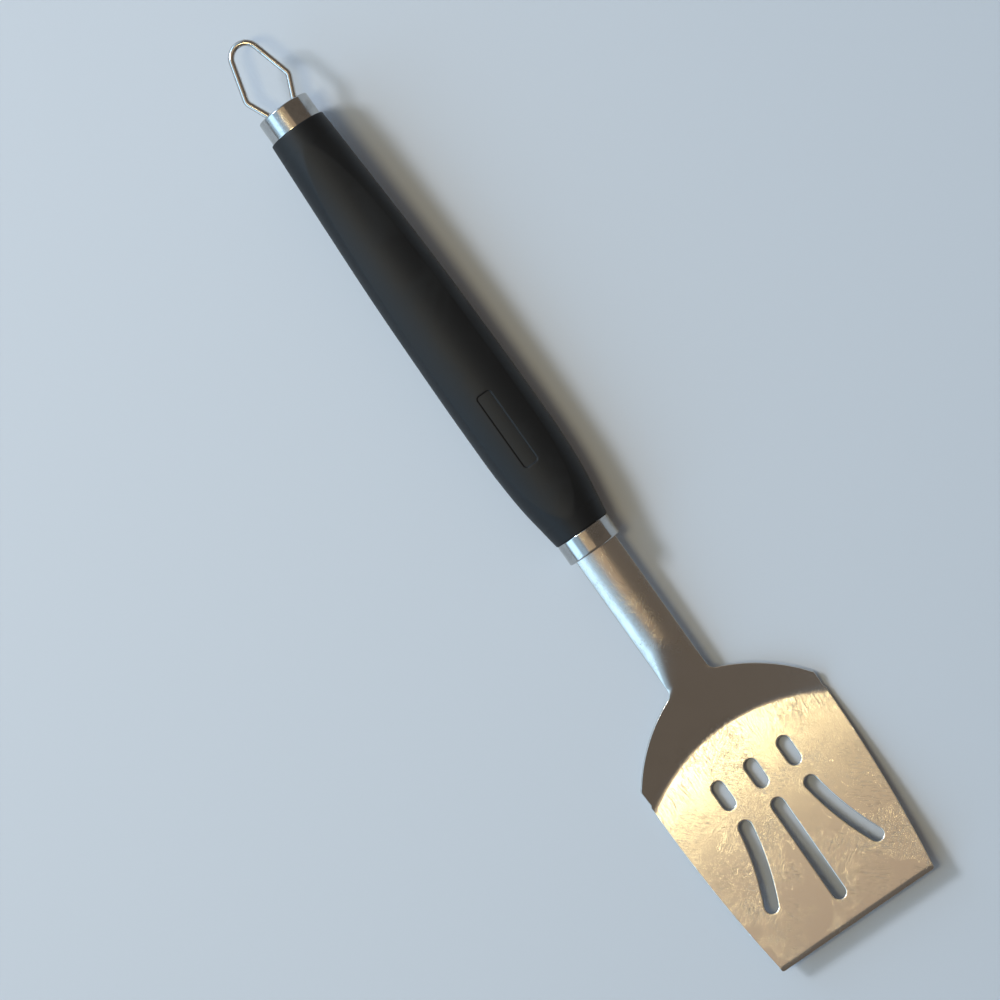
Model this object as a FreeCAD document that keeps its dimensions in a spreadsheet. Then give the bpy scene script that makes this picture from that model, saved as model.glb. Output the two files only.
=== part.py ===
import FreeCAD, Part
import math
import os

import Sketcher

# A grill spatula, lying on a table as it is put down: the front heel of the blade and the
# belly of the handle touch the table.  +X runs from the hanging loop to the blade, +Z is up.
# The origin is on the table, under the middle of the tool.  Lengths are millimetres.

doc = FreeCAD.newDocument("grill_spatula")

DIMENSIONS = {
    # how the tool lies
    "handle_pitch": 2.0,
    "handle_height": 15.51,
    "blade_pitch": 5.5,
    "heel_position": 133.9,
    # the pressed blade, seen square to its flat face; lengths from the middle of the fold
    "sheet_thickness": 1.5,
    "fold_radius": 93.0,
    "fold_angle": 24.3,
    "fold_inner_bend": 1.6,
    "blade_length": 106.5,
    "front_half_width": 41.1,
    "middle_half_width": 46.2,
    "middle_from_fold": 60.5,
    "heel_half_width": 48.1,
    "heel_from_fold": 13.4,
    "heel_step": 1.4,
    "shoulder_half_width": 47.3,
    "shoulder_from_fold": 4.9,
    "shoulder_bulge_y": 31.0,
    "shoulder_bulge_from_fold": -11.4,
    "shoulder_root_y": 13.4,
    "shoulder_root_from_fold": -21.6,
    # the slots, from the middle of the fold
    "slot_width": 6.2,
    "slot_row_pitch": 17.9,
    "short_slot_centre": 27.0,
    "short_slot_length": 14.2,
    "long_slot_start": 41.0,
    "long_slot_end": 94.2,
    "curved_slot_start": 41.1,
    "curved_slot_middle_x": 62.0,
    "curved_slot_middle_y": 21.9,
    "curved_slot_end_x": 80.4,
    "curved_slot_end_y": 29.0,
    # neck and tang: one arched channel, in line with the handle
    "neck_half_width": 10.9,
    "neck_arch_radius": 16.0,
    "neck_top": 2.2,
    "neck_arch_end": 86.0,
    "neck_flat_end": 108.0,
    "tang_half_width": 8.0,
    "tang_start": -44.0,
    "tang_shoulder": 30.0,
    "pin_radius": 1.5,
    "pin_front": 6.0,
    "pin_rear": -30.0,
    # handle, from rear to front
    "handle_rear": -192.2,
    "handle_front": 26.65,
    "grip_wall": 2.8,
    "core_gap": 0.12,
    "panel_crown_radius": 29.4,
    "badge_start": -48.3,
    "badge_length": 38.0,
    "badge_width": 7.4,
    "badge_depth": 0.5,
    "badge_corner": 1.6,
    # ferrules
    "ferrule_wall": 0.8,
    "rear_ferrule_radius": 12.7,
    "rear_ferrule_end": -203.4,
    "rear_mouth_radius": 11.2,
    "front_ferrule_radius": 13.3,
    "front_ferrule_end": 36.9,
    "ferrule_edge_radius": 0.7,
    "core_spigot_length": 3.2,
    "front_spigot_length": 9.2,
    # hanging loop, and the split plug that holds its turned-out ends
    "wire_radius": 1.5,
    "loop_apex": -239.53,
    "loop_shoulder_x": -214.9,
    "loop_shoulder_y": 11.5,
    "loop_side_angle": 15.5,
    "loop_shoulder_radius": 4.0,
    "loop_root_y": 6.7,
    "loop_pivot": -198.4,
    "loop_straight": 5.6,
    "loop_bend_radius": 2.0,
    "loop_end_y": 10.9,
    "running_clearance": 0.05,
    "plug_face": -201.8,
    "plug_radius": 11.8,
    "plug_nose_radius": 7.0,
    "plug_nose_length": 14.0,
    "plug_slot_half_width": 1.9,
    "plug_slot_floor": -196.1,
    "screw_radius": 1.9,
    "screw_head_radius": 3.6,
    "screw_head_height": 1.4,
    "screw_length": 22.0,
}

# The grip's rounded body: place along the handle, half width and half height.
GRIP_STATIONS = [
    (-192.2, 13.7, 13.3),
    (-155.0, 15.4, 14.3),
    (-110.0, 17.2, 15.4),
    (-73.0, 17.95, 15.9),
    (-36.0, 18.25, 16.1),
    (-12.0, 17.95, 15.9),
    (6.0, 16.65, 15.1),
    (17.0, 15.05, 14.2),
    (26.65, 13.6, 13.3),
]

# Height of the leaf-shaped top panel's crown above the handle's axis along the handle.
PANEL_STATIONS = [
    (-200.0, 14.3),
    (-177.0, 13.35),
    (-155.0, 12.75),
    (-110.0, 13.15),
    (-36.0, 13.9),
    (6.0, 13.95),
    (34.0, 14.3),
]

sheet = doc.addObject("Spreadsheet::Sheet", "Dimensions")


def store(alias, value):
    """Put one plain number in the next row of the sheet, under its own name."""
    row = store.next_row
    store.next_row += 1
    sheet.set("A%d" % row, alias)
    sheet.set("B%d" % row, repr(value))
    sheet.setAlias("B%d" % row, alias)


store.next_row = 1
for name, number in DIMENSIONS.items():
    store(name, number)
for index, (place, half_width, half_height) in enumerate(GRIP_STATIONS):
    store("station_place_%d" % index, place)
    store("station_width_%d" % index, half_width)
    store("station_height_%d" % index, half_height)
for index, (place, height) in enumerate(PANEL_STATIONS):
    store("panel_place_%d" % index, place)
    store("panel_height_%d" % index, height)
doc.recompute()


def dim(alias):
    """The value that the sheet holds under this name."""
    return float(sheet.get(alias))


# Axes: turning a shape by ALONG_X lays its own Z along +X and its own X along +Y.
ALONG_X = FreeCAD.Rotation(FreeCAD.Vector(1, 1, 1), 120)
ALONG_Y = FreeCAD.Rotation(FreeCAD.Vector(1, 0, 0), -90)
UPRIGHT = FreeCAD.Rotation()
TILT_AXIS = FreeCAD.Vector(0, 1, 0)

# The handle's frame: its own X is the handle's axis, which falls towards the blade.
handle_frame = FreeCAD.Placement(
    FreeCAD.Vector(0, 0, dim("handle_height")),
    FreeCAD.Rotation(TILT_AXIS, dim("handle_pitch")),
)

# The blade's frame: its origin is the centre of the curved fold, on the underside's plane,
# and its X rises towards the front edge.  The rounded heel just touches the table.
pitch = math.radians(dim("blade_pitch"))
heel_outer_bend = dim("fold_inner_bend") + dim("sheet_thickness")
bend_inset = heel_outer_bend * math.tan(math.radians(dim("fold_angle")) / 2)
bend_centre = dim("fold_radius") - bend_inset
heel_lift = heel_outer_bend * (1 - math.cos(pitch)) + bend_centre * math.sin(pitch)
blade_frame = FreeCAD.Placement(
    FreeCAD.Vector(dim("heel_position") + dim("fold_radius") * math.cos(pitch), 0, heel_lift),
    FreeCAD.Rotation(TILT_AXIS, -dim("blade_pitch")),
)


def at(x, y=0.0, z=0.0, turn=UPRIGHT):
    """A placement from a position and a turn."""
    return FreeCAD.Placement(FreeCAD.Vector(x, y, z), turn)


def bind(item, **expressions):
    """Bind properties of an object to the sheet."""
    for prop, expression in expressions.items():
        item.setExpression(prop, expression)
    return item


def cylinder(label, radius, height, place):
    """A cylinder whose radius and height are expressions of the sheet."""
    item = doc.addObject("Part::Cylinder", label)
    bind(item, Radius=radius, Height=height)
    item.Placement = place
    return item


def box(label, length, width, height, place):
    """A box whose three sizes are expressions of the sheet."""
    item = doc.addObject("Part::Box", label)
    bind(item, Length=length, Width=width, Height=height)
    item.Placement = place
    return item


def cut(label, base, tool):
    """Base less tool."""
    item = doc.addObject("Part::Cut", label)
    item.Base = base
    item.Tool = tool
    return item


def common(label, base, tool):
    """What two shapes share."""
    item = doc.addObject("Part::Common", label)
    item.Base = base
    item.Tool = tool
    return item


def fuse(label, shapes):
    """Several shapes as one."""
    item = doc.addObject("Part::MultiFuse", label)
    item.Shapes = shapes
    item.Refine = True
    return item


def group(label, shapes):
    """Several separate solids under one name."""
    item = doc.addObject("Part::Compound", label)
    item.Links = shapes
    return item


def shape_of(label, shape):
    """A document object that holds a free-form shape."""
    item = doc.addObject("Part::Feature", label)
    item.Shape = shape
    return item


def point(x, y, z=0.0):
    return FreeCAD.Vector(x, y, z)


def new_sketch(body, label, role):
    """A sketch on one of the body's own origin planes."""
    sketch = body.newObject("Sketcher::SketchObject", label)
    for feature in body.Origin.OriginFeatures:
        if feature.Role == role:
            sketch.AttachmentSupport = [(feature, "")]
    sketch.MapMode = "FlatFace"
    return sketch


def fix_point(sketch, edge, end, x_rule, y_rule):
    """Hold the end of one edge at a place given by two expressions of the sheet."""
    spot = sketch.getPoint(edge, end)
    for kind, value, rule in (("DistanceX", spot.x, x_rule), ("DistanceY", spot.y, y_rule)):
        index = sketch.addConstraint(Sketcher.Constraint(kind, edge, end, value))
        sketch.setExpression("Constraints[%d]" % index, rule)


def closed_outline(sketch, corners):
    """A closed outline.  Each corner is (x, y, x_rule, y_rule, middle): the place and its two
    rules, and for an arc to the next corner the point that it passes through."""
    first = None
    for number, corner in enumerate(corners):
        after = corners[(number + 1) % len(corners)]
        start = point(corner[0], corner[1])
        end = point(after[0], after[1])
        if corner[4] is None:
            edge = sketch.addGeometry(Part.LineSegment(start, end))
            start_end, far_end = 1, 2
        else:
            edge = sketch.addGeometry(Part.Arc(start, point(*corner[4]), end))
            near = sketch.getPoint(edge, 1).distanceToPoint(start) < 1e-6
            start_end, far_end = (1, 2) if near else (2, 1)
            centre = sketch.getPoint(edge, 3)
            if abs(end.y - start.y) > abs(end.x - start.x):
                sketch.addConstraint(Sketcher.Constraint("DistanceX", edge, 3, centre.x))
            else:
                sketch.addConstraint(Sketcher.Constraint("DistanceY", edge, 3, centre.y))
        fix_point(sketch, edge, start_end, corner[2], corner[3])
        if first is None:
            first = (edge, start_end)
        else:
            sketch.addConstraint(Sketcher.Constraint("Coincident", last[0], last[1], edge, start_end))
        last = (edge, far_end)
    sketch.addConstraint(Sketcher.Constraint("Coincident", last[0], last[1], first[0], first[1]))


# ---------------------------------------------------------------- blade head
# One stainless pressing.  The flat of the blade, the curved fold and the dished shoulders
# are one band turned about the centre of the fold, trimmed to the blade's outline.
blank = doc.addObject("PartDesign::Body", "blade_blank")
blank.Placement = blade_frame

fold_angle = math.radians(dim("fold_angle"))
thickness = dim("sheet_thickness")
inner_bend = dim("fold_inner_bend")
BEND_CENTRE = (
    "(Dimensions.fold_radius - (Dimensions.fold_inner_bend + Dimensions.sheet_thickness)"
    " * tan(Dimensions.fold_angle * 0.5 deg))"
)
OUTER_BEND = "(Dimensions.fold_inner_bend + Dimensions.sheet_thickness)"
INNER_BEND = "Dimensions.fold_inner_bend"
ANGLE = "(Dimensions.fold_angle * 1 deg)"
DISH_REACH = 42.0


def band_point(bend_radius, turn, reach=0.0):
    """A point of the bend's arc at a turn, or further out along the shoulder's slope."""
    return (
        bend_centre + bend_radius * math.sin(turn) + reach * math.cos(fold_angle),
        heel_outer_bend - bend_radius * math.cos(turn) + reach * math.sin(fold_angle),
    )


def band_rules(bend, reach=0.0):
    """The two rules of such a point at the end of the bend."""
    return (
        "%s + %s * sin%s + %r * cos%s" % (BEND_CENTRE, bend, ANGLE, reach, ANGLE),
        "%s - %s * cos%s + %r * sin%s" % (OUTER_BEND, bend, ANGLE, reach, ANGLE),
    )


band = new_sketch(blank, "band", "XZ_Plane")
closed_outline(band, [
    (0, 0, "0", "0", None),
    (bend_centre, 0, BEND_CENTRE, "0", band_point(heel_outer_bend, fold_angle / 2)),
    band_point(heel_outer_bend, fold_angle) + band_rules(OUTER_BEND) + (None,),
    band_point(heel_outer_bend, fold_angle, DISH_REACH) + band_rules(OUTER_BEND, DISH_REACH)
    + (None,),
    band_point(inner_bend, fold_angle, DISH_REACH) + band_rules(INNER_BEND, DISH_REACH)
    + (None,),
    band_point(inner_bend, fold_angle) + band_rules(INNER_BEND)
    + (band_point(inner_bend, fold_angle / 2),),
    (bend_centre, thickness, BEND_CENTRE, "Dimensions.sheet_thickness", None),
    (0, thickness, "0", "Dimensions.sheet_thickness", None),
])
dish = blank.newObject("PartDesign::Revolution", "dish")
dish.Profile = band
dish.ReferenceAxis = (band, ["V_Axis"])
dish.Angle = 360.0
doc.recompute()


def from_fold(alias):
    """A place along the blade, from the middle of the fold, as a value and as a rule."""
    return dim(alias) - dim("fold_radius"), "Dimensions.%s - Dimensions.fold_radius" % alias


def across(alias, sign):
    """A place across the blade, as a value and as a rule."""
    rule = "Dimensions.%s" % alias if sign > 0 else "-Dimensions.%s" % alias
    return sign * dim(alias), rule


def corner(along, side, middle=None):
    """One corner of an outline, from its place along and across."""
    return (along[0], side[0], along[1], side[1], middle)


# The disc that is trimmed away around the outline is wider than the whole blank.
TRIM_RADIUS = 160.0
# How far the curve beside the root of the neck bows out from its straight line.
ROOT_BOW = 0.95
ROOT_BOW_BEFORE = 2.0
START = -(dim("fold_radius") + dim("heel_position") - dim("neck_flat_end"))
START_RULE = "-(Dimensions.fold_radius + Dimensions.heel_position - Dimensions.neck_flat_end)"


def side_corners(sign):
    """The outline of one side, from the root of the neck to the front edge."""
    root = (START, START_RULE)
    bend = from_fold("shoulder_root_from_fold")
    bulge = (from_fold("shoulder_bulge_from_fold")[0], sign * dim("shoulder_bulge_y"))
    blade_bulge = (from_fold("middle_from_fold")[0], sign * dim("middle_half_width"))
    root_bulge = (bend[0] - ROOT_BOW_BEFORE, sign * (dim("neck_half_width") + ROOT_BOW))
    return [
        corner(root, across("neck_half_width", sign), root_bulge),
        corner(bend, across("shoulder_root_y", sign), bulge),
        corner(from_fold("shoulder_from_fold"), across("shoulder_half_width", sign)),
        corner((from_fold("heel_from_fold")[0] - dim("heel_step"),
                "Dimensions.heel_from_fold - Dimensions.fold_radius - Dimensions.heel_step"),
               across("shoulder_half_width", sign)),
        corner(from_fold("heel_from_fold"), across("heel_half_width", sign), blade_bulge),
        corner(from_fold("blade_length"), across("front_half_width", sign)),
    ]


def reversed_side(corners):
    """The same corners walked the other way, with each arc's point kept on its own edge."""
    walked = []
    for number in range(len(corners) - 1, -1, -1):
        middle = corners[number - 1][4] if number > 0 else None
        walked.append(corners[number][:4] + (middle,))
    return walked


trim = new_sketch(blank, "trim", "XY_Plane")
trim.addGeometry(Part.Circle(point(0, 0), FreeCAD.Vector(0, 0, 1), TRIM_RADIUS))
trim.addConstraint(Sketcher.Constraint("Coincident", 0, 3, -1, 1))
trim.addConstraint(Sketcher.Constraint("Radius", 0, TRIM_RADIUS))
closed_outline(trim, side_corners(1) + reversed_side(side_corners(-1)))
trimmed = blank.newObject("PartDesign::Pocket", "trimmed")
trimmed.Profile = trim
trimmed.Type = "ThroughAll"
trimmed.Midplane = True
doc.recompute()

# Six slots: three short ones behind, a long straight one between two that curve outwards.
slots = new_sketch(blank, "slots", "XY_Plane")
slot_half = dim("slot_width") / 2
fold = dim("fold_radius")


def straight_slot(start, end, side):
    """A round-ended slot along the blade; start and end are its tips from the fold."""
    near = start + slot_half - fold
    far = end - slot_half - fold
    low = side - slot_half
    high = side + slot_half
    closed_outline(slots, [
        (near, low, repr(near), repr(low), None),
        (far, low, repr(far), repr(low), (far + slot_half, side)),
        (far, high, repr(far), repr(high), None),
        (near, high, repr(near), repr(high), (near - slot_half, side)),
    ])


def curved_slot(sign):
    """A round-ended slot whose middle line is an arc that bends away from the blade's axis."""
    start = point(dim("curved_slot_start") + slot_half - fold, sign * dim("slot_row_pitch"))
    middle = point(dim("curved_slot_middle_x") - fold, sign * dim("curved_slot_middle_y"))
    end = point(dim("curved_slot_end_x") - fold, sign * dim("curved_slot_end_y"))
    centre = Part.Arc(start, middle, end).toShape().Curve.Center

    def offset(spot, distance):
        outward = (spot - centre).normalize()
        return spot + outward * distance

    def tip(spot, towards):
        radial = (spot - centre).normalize()
        along = point(-radial.y, radial.x) * towards
        return spot + along * slot_half

    turning = 1 if (start - centre).cross(end - centre).z > 0 else -1
    inner_start, inner_end = offset(start, -slot_half), offset(end, -slot_half)
    outer_start, outer_end = offset(start, slot_half), offset(end, slot_half)
    inner_middle, outer_middle = offset(middle, -slot_half), offset(middle, slot_half)
    end_tip, start_tip = tip(end, turning), tip(start, -turning)
    closed_outline(slots, [
        (spot.x, spot.y, repr(spot.x), repr(spot.y), (through.x, through.y))
        for spot, through in (
            (inner_start, inner_middle),
            (inner_end, end_tip),
            (outer_end, outer_middle),
            (outer_start, start_tip),
        )
    ])


short_start = dim("short_slot_centre") - dim("short_slot_length") / 2
for side in (-dim("slot_row_pitch"), 0.0, dim("slot_row_pitch")):
    straight_slot(short_start, short_start + dim("short_slot_length"), side)
straight_slot(dim("long_slot_start"), dim("long_slot_end"), 0.0)
curved_slot(1)
curved_slot(-1)
slotted = blank.newObject("PartDesign::Pocket", "slotted")
slotted.Profile = slots
slotted.Type = "ThroughAll"
slotted.Midplane = True
doc.recompute()
blank.Tip = slotted

# Neck and tang: an arched channel in line with the handle, cut from a tube.
ARCH_LENGTH = "Dimensions.neck_arch_end - Dimensions.tang_start"
# The plan that trims the tube only has to be taller than the tube's crown.
PLAN_HEIGHT = 20.0
PLAN_RULE = "%r mm" % PLAN_HEIGHT
TANG_PLAY = 0.15
FERRULE_PLAY = 0.25
arch_axis = at(dim("tang_start"), 0, dim("neck_top") - dim("neck_arch_radius"), ALONG_X)


def channel(label, outset):
    """The arched channel, grown by an outset for the holes that it passes through."""
    grow = " + %r" % outset
    outer = cylinder(label + "_outer", "Dimensions.neck_arch_radius" + grow,
                     ARCH_LENGTH, arch_axis)
    inner = cylinder(label + "_inner",
                     "Dimensions.neck_arch_radius - Dimensions.sheet_thickness - %r" % outset,
                     ARCH_LENGTH, arch_axis)
    half_neck = dim("neck_half_width") + outset
    half_tang = dim("tang_half_width") + outset
    wide = box(label + "_wide", "Dimensions.neck_arch_end - Dimensions.tang_shoulder",
               "2 * (Dimensions.neck_half_width" + grow + ")", PLAN_RULE,
               at(dim("tang_shoulder"), -half_neck, -PLAN_HEIGHT / 2))
    narrow = box(label + "_narrow", "Dimensions.tang_shoulder - Dimensions.tang_start",
                 "2 * (Dimensions.tang_half_width" + grow + ")", PLAN_RULE,
                 at(dim("tang_start"), -half_tang, -PLAN_HEIGHT / 2))
    return common(label, cut(label + "_tube", outer, inner), fuse(label + "_plan", [wide, narrow]))


PIN_PLACES = ("pin_rear", "pin_front")
PIN_HALF_LENGTH = 9.0
TANG_HOLE_HALF_LENGTH = 8.0


def pin_set(label, radius, half_length):
    """The two upright pins through the tang, or the holes for them."""
    return [
        cylinder("%s_%d" % (label, number), radius, "2 * %r mm" % half_length,
                 at(dim(alias), 0, -half_length))
        for number, alias in enumerate(PIN_PLACES)
    ]


neck = cut("neck", channel("neck_channel", 0.0),
           fuse("tang_holes", pin_set(
               "tang_hole", "Dimensions.pin_radius + Dimensions.running_clearance",
               TANG_HOLE_HALF_LENGTH)))
neck.Placement = handle_frame
doc.recompute()


def end_face(shape, position, normal):
    """The flat face of a shape nearest to a position that looks along a direction."""
    def fits(face):
        if face.Surface.TypeId != "Part::GeomPlane":
            return False
        return abs(face.normalAt(0, 0).dot(normal)) > 0.999
    faces = [face for face in shape.Faces if fits(face)]
    return min(faces, key=lambda face: face.CenterOfMass.distanceToPoint(position))


def arch_section(along, top, rise, middle_depth, edge_depth):
    """An arched section across the neck: two arcs joined by its two edges."""
    half = dim("neck_half_width")
    left_top = FreeCAD.Vector(along, -half, top - rise)
    right_top = FreeCAD.Vector(along, half, top - rise)
    left_low = left_top - FreeCAD.Vector(0, 0, edge_depth)
    right_low = right_top - FreeCAD.Vector(0, 0, edge_depth)
    crown = FreeCAD.Vector(along, 0, top)
    hollow = FreeCAD.Vector(along, 0, top - middle_depth)
    return Part.Wire([
        Part.Arc(left_top, crown, right_top).toShape(),
        Part.LineSegment(right_top, right_low).toShape(),
        Part.Arc(right_low, hollow, left_low).toShape(),
        Part.LineSegment(left_low, left_top).toShape(),
    ])


# The arch flattens and turns down into the shoulders over a short blend.
slope = math.tan(math.radians(dim("handle_pitch")))
shoulder_slope = math.tan(fold_angle - pitch)
blend_length = dim("neck_flat_end") - dim("neck_arch_end")
arch_rise = dim("neck_arch_radius") - math.sqrt(
    dim("neck_arch_radius") ** 2 - dim("neck_half_width") ** 2)
under_radius = dim("neck_arch_radius") - thickness
under_rise = under_radius - math.sqrt(under_radius ** 2 - dim("neck_half_width") ** 2)
edge_depth = thickness + under_rise - arch_rise
flat_depth = thickness / math.cos(fold_angle)


def blend_section(share):
    """The section a given share of the way through the blend."""
    along = dim("neck_arch_end") + share * blend_length
    ease = share * share * (3 - 2 * share)
    drop = (shoulder_slope - slope) * share * share * blend_length / 2
    top = dim("handle_height") + dim("neck_top") - slope * along - drop
    return arch_section(
        along, top, arch_rise * (1 - ease),
        thickness + (flat_depth - thickness) * ease,
        edge_depth + (flat_depth - edge_depth) * ease,
    )


neck_end = handle_frame.multVec(FreeCAD.Vector(dim("neck_arch_end"), 0, dim("neck_top")))
neck_face = end_face(neck.Shape, neck_end, handle_frame.Rotation.multVec(FreeCAD.Vector(1, 0, 0)))
blank_start = blade_frame.multVec(FreeCAD.Vector(START, 0, 10))
blank_face = end_face(blank.Shape, blank_start,
                      blade_frame.Rotation.multVec(FreeCAD.Vector(1, 0, 0)))
blend = shape_of("neck_blend", Part.makeLoft(
    [neck_face.OuterWire]
    + [blend_section(share) for share in (0.25, 0.5, 0.75)]
    + [blank_face.OuterWire], True, False))
blade_head = fuse("blade_head", [neck, blend, blank])

# ---------------------------------------------------------------- handle
# Everything below is made along the handle's own axis and laid down by handle_frame.


def station_loft(label, inset):
    """The handle's rounded body, pulled in by an inset all round."""
    rings = []
    for number in range(len(GRIP_STATIONS)):
        ring = doc.addObject("Part::Ellipse", "%s_ring_%d" % (label, number))
        bind(ring, MajorRadius="Dimensions.station_width_%d - %s" % (number, inset),
             MinorRadius="Dimensions.station_height_%d - %s" % (number, inset))
        ring.Placement = at(dim("station_place_%d" % number), 0, 0, ALONG_X)
        rings.append(ring)
    body = doc.addObject("Part::Loft", label)
    body.Sections = rings
    body.Solid = True
    return body


def panel_loft(label, inset):
    """A crowned bar whose top is the leaf-shaped panel, pulled in by an inset."""
    rings = []
    for number in range(len(PANEL_STATIONS)):
        ring = doc.addObject("Part::Ellipse", "%s_ring_%d" % (label, number))
        bind(ring, MajorRadius="Dimensions.panel_crown_radius - %s" % inset,
             MinorRadius="Dimensions.panel_crown_radius - %s" % inset)
        height = dim("panel_height_%d" % number) - dim("panel_crown_radius")
        ring.Placement = at(dim("panel_place_%d" % number), 0, height, ALONG_X)
        rings.append(ring)
    bar = doc.addObject("Part::Loft", label)
    bar.Sections = rings
    bar.Solid = True
    return bar


SKIN = "Dimensions.grip_wall"
CORE_INSET = "(Dimensions.grip_wall + Dimensions.core_gap)"
grip_outside = common("grip_outside", station_loft("grip_round", "0"),
                      panel_loft("grip_panel", "0"))
core_body = common("core_body", station_loft("core_round", CORE_INSET),
                   panel_loft("core_panel", CORE_INSET))

# The plain badge pad: a shallow recess with rounded corners that follows the panel.
BADGE_PLAN_HEIGHT = 10.0
badge_plan = box("badge_plan", "Dimensions.badge_length", "Dimensions.badge_width",
                 "%r mm" % BADGE_PLAN_HEIGHT,
                 at(dim("badge_start"), -dim("badge_width") / 2, BADGE_PLAN_HEIGHT))
badge_round = doc.addObject("Part::Fillet", "badge_round")
badge_round.Base = badge_plan
doc.recompute()
badge_round.Edges = [
    (number + 1, dim("badge_corner"), dim("badge_corner"))
    for number, edge in enumerate(badge_plan.Shape.Edges)
    if abs(edge.tangentAt(edge.FirstParameter).z) > 0.999
]
badge_cut = cut("badge_cut", badge_round, panel_loft("badge_floor", "Dimensions.badge_depth"))

grip = cut("handle_grip", grip_outside,
           fuse("grip_hollow", [
               common("grip_core", station_loft("socket_round", SKIN),
                      panel_loft("socket_panel", SKIN)),
               badge_cut,
           ]))

# The moulded core: a body inside the grip, with a spigot at each end for the ferrules.
rear_spigot = cylinder(
    "rear_spigot",
    "Dimensions.rear_ferrule_radius - Dimensions.ferrule_wall - Dimensions.running_clearance",
    "Dimensions.core_spigot_length",
    at(dim("handle_rear") - dim("core_spigot_length"), 0, 0, ALONG_X))
front_spigot = cylinder(
    "front_spigot",
    "Dimensions.front_ferrule_radius - Dimensions.ferrule_wall - Dimensions.running_clearance",
    "Dimensions.front_spigot_length",
    at(dim("handle_front"), 0, 0, ALONG_X))
plug_seat = cylinder("plug_seat",
                     "Dimensions.plug_nose_radius + Dimensions.running_clearance",
                     "Dimensions.core_spigot_length + Dimensions.plug_nose_length",
                     at(dim("handle_rear") - dim("core_spigot_length"), 0, 0, ALONG_X))
screw_seat = cylinder("screw_seat", "Dimensions.screw_radius", "Dimensions.screw_length",
                      at(dim("plug_face"), 0, 0, ALONG_X))
core = cut("handle_core", fuse("core_blank", [core_body, rear_spigot, front_spigot]),
           fuse("core_hollow", [
               channel("tang_socket", TANG_PLAY),
               plug_seat,
               screw_seat,
           ] + pin_set("core_pin_hole", "Dimensions.pin_radius", PIN_HALF_LENGTH)))
pins = group("tang_pins", pin_set("tang_pin", "Dimensions.pin_radius", PIN_HALF_LENGTH))


def rounded(label, base, radius, wanted):
    """Base with the wanted edges rounded."""
    doc.recompute()
    item = doc.addObject("Part::Fillet", label)
    item.Base = base
    item.Edges = [
        (number + 1, radius, radius)
        for number, edge in enumerate(base.Shape.Edges) if wanted(edge)
    ]
    return item


def is_circle(edge, radius, along):
    """Whether an edge is a circle of this radius at this place along the handle."""
    if edge.Curve.TypeId != "Part::GeomCircle":
        return False
    near = abs(edge.Curve.Center.x - along) < 0.01
    return near and abs(edge.Curve.Radius - radius) < 0.01


# ---------------------------------------------------------------- ferrules
# Two deep-drawn stainless caps.  The rear one has an open mouth with a turned-in lip; the
# front one has a slot punched in its end for the neck.
REAR_LENGTH = "Dimensions.handle_rear - Dimensions.rear_ferrule_end"
rear_shell = cylinder("rear_shell", "Dimensions.rear_ferrule_radius", REAR_LENGTH,
                      at(dim("rear_ferrule_end"), 0, 0, ALONG_X))
rear_room = cylinder("rear_room", "Dimensions.rear_ferrule_radius - Dimensions.ferrule_wall",
                     REAR_LENGTH, at(dim("rear_ferrule_end") + dim("ferrule_wall"), 0, 0, ALONG_X))
rear_mouth = cylinder("rear_mouth", "Dimensions.rear_mouth_radius", REAR_LENGTH,
                      at(dim("rear_ferrule_end") - 1, 0, 0, ALONG_X))
rear_ferrule = rounded(
    "rear_ferrule",
    cut("rear_cap", rear_shell, fuse("rear_hollow", [rear_room, rear_mouth])),
    dim("ferrule_edge_radius"),
    lambda edge: is_circle(edge, dim("rear_ferrule_radius"), dim("rear_ferrule_end")),
)

FRONT_LENGTH = "Dimensions.front_ferrule_end - Dimensions.handle_front"
front_shell = cylinder("front_shell", "Dimensions.front_ferrule_radius", FRONT_LENGTH,
                       at(dim("handle_front"), 0, 0, ALONG_X))
front_room = cylinder("front_room", "Dimensions.front_ferrule_radius - Dimensions.ferrule_wall",
                      FRONT_LENGTH, at(dim("handle_front") - dim("ferrule_wall"), 0, 0, ALONG_X))
front_cap = rounded(
    "front_cap", front_shell, dim("ferrule_edge_radius"),
    lambda edge: is_circle(edge, dim("front_ferrule_radius"), dim("front_ferrule_end")),
)
front_ferrule = cut("front_ferrule", front_cap,
                    fuse("front_hollow", [front_room, channel("neck_slot", FERRULE_PLAY)]))

# ---------------------------------------------------------------- hanging loop
# One bent wire.  Its two ends turn outwards and pivot in the split plug.


def rounded_path(points, radii):
    """Straight runs joined by tangent arcs, one radius for each inner point."""
    edges = []
    start = points[0]
    for before, spot, after, radius in zip(points, points[1:], points[2:], radii):
        back = (before - spot).normalize()
        ahead = (after - spot).normalize()
        half = math.acos(back.dot(ahead)) / 2
        reach = radius / math.tan(half)
        centre = spot + (back + ahead).normalize() * (radius / math.sin(half))
        entry = spot + back * reach
        leave = spot + ahead * reach
        middle = centre + (spot - centre).normalize() * radius
        edges.append(Part.LineSegment(start, entry).toShape())
        edges.append(Part.Arc(entry, middle, leave).toShape())
        start = leave
    edges.append(Part.LineSegment(start, points[-1]).toShape())
    return Part.Wire(edges)


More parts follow.
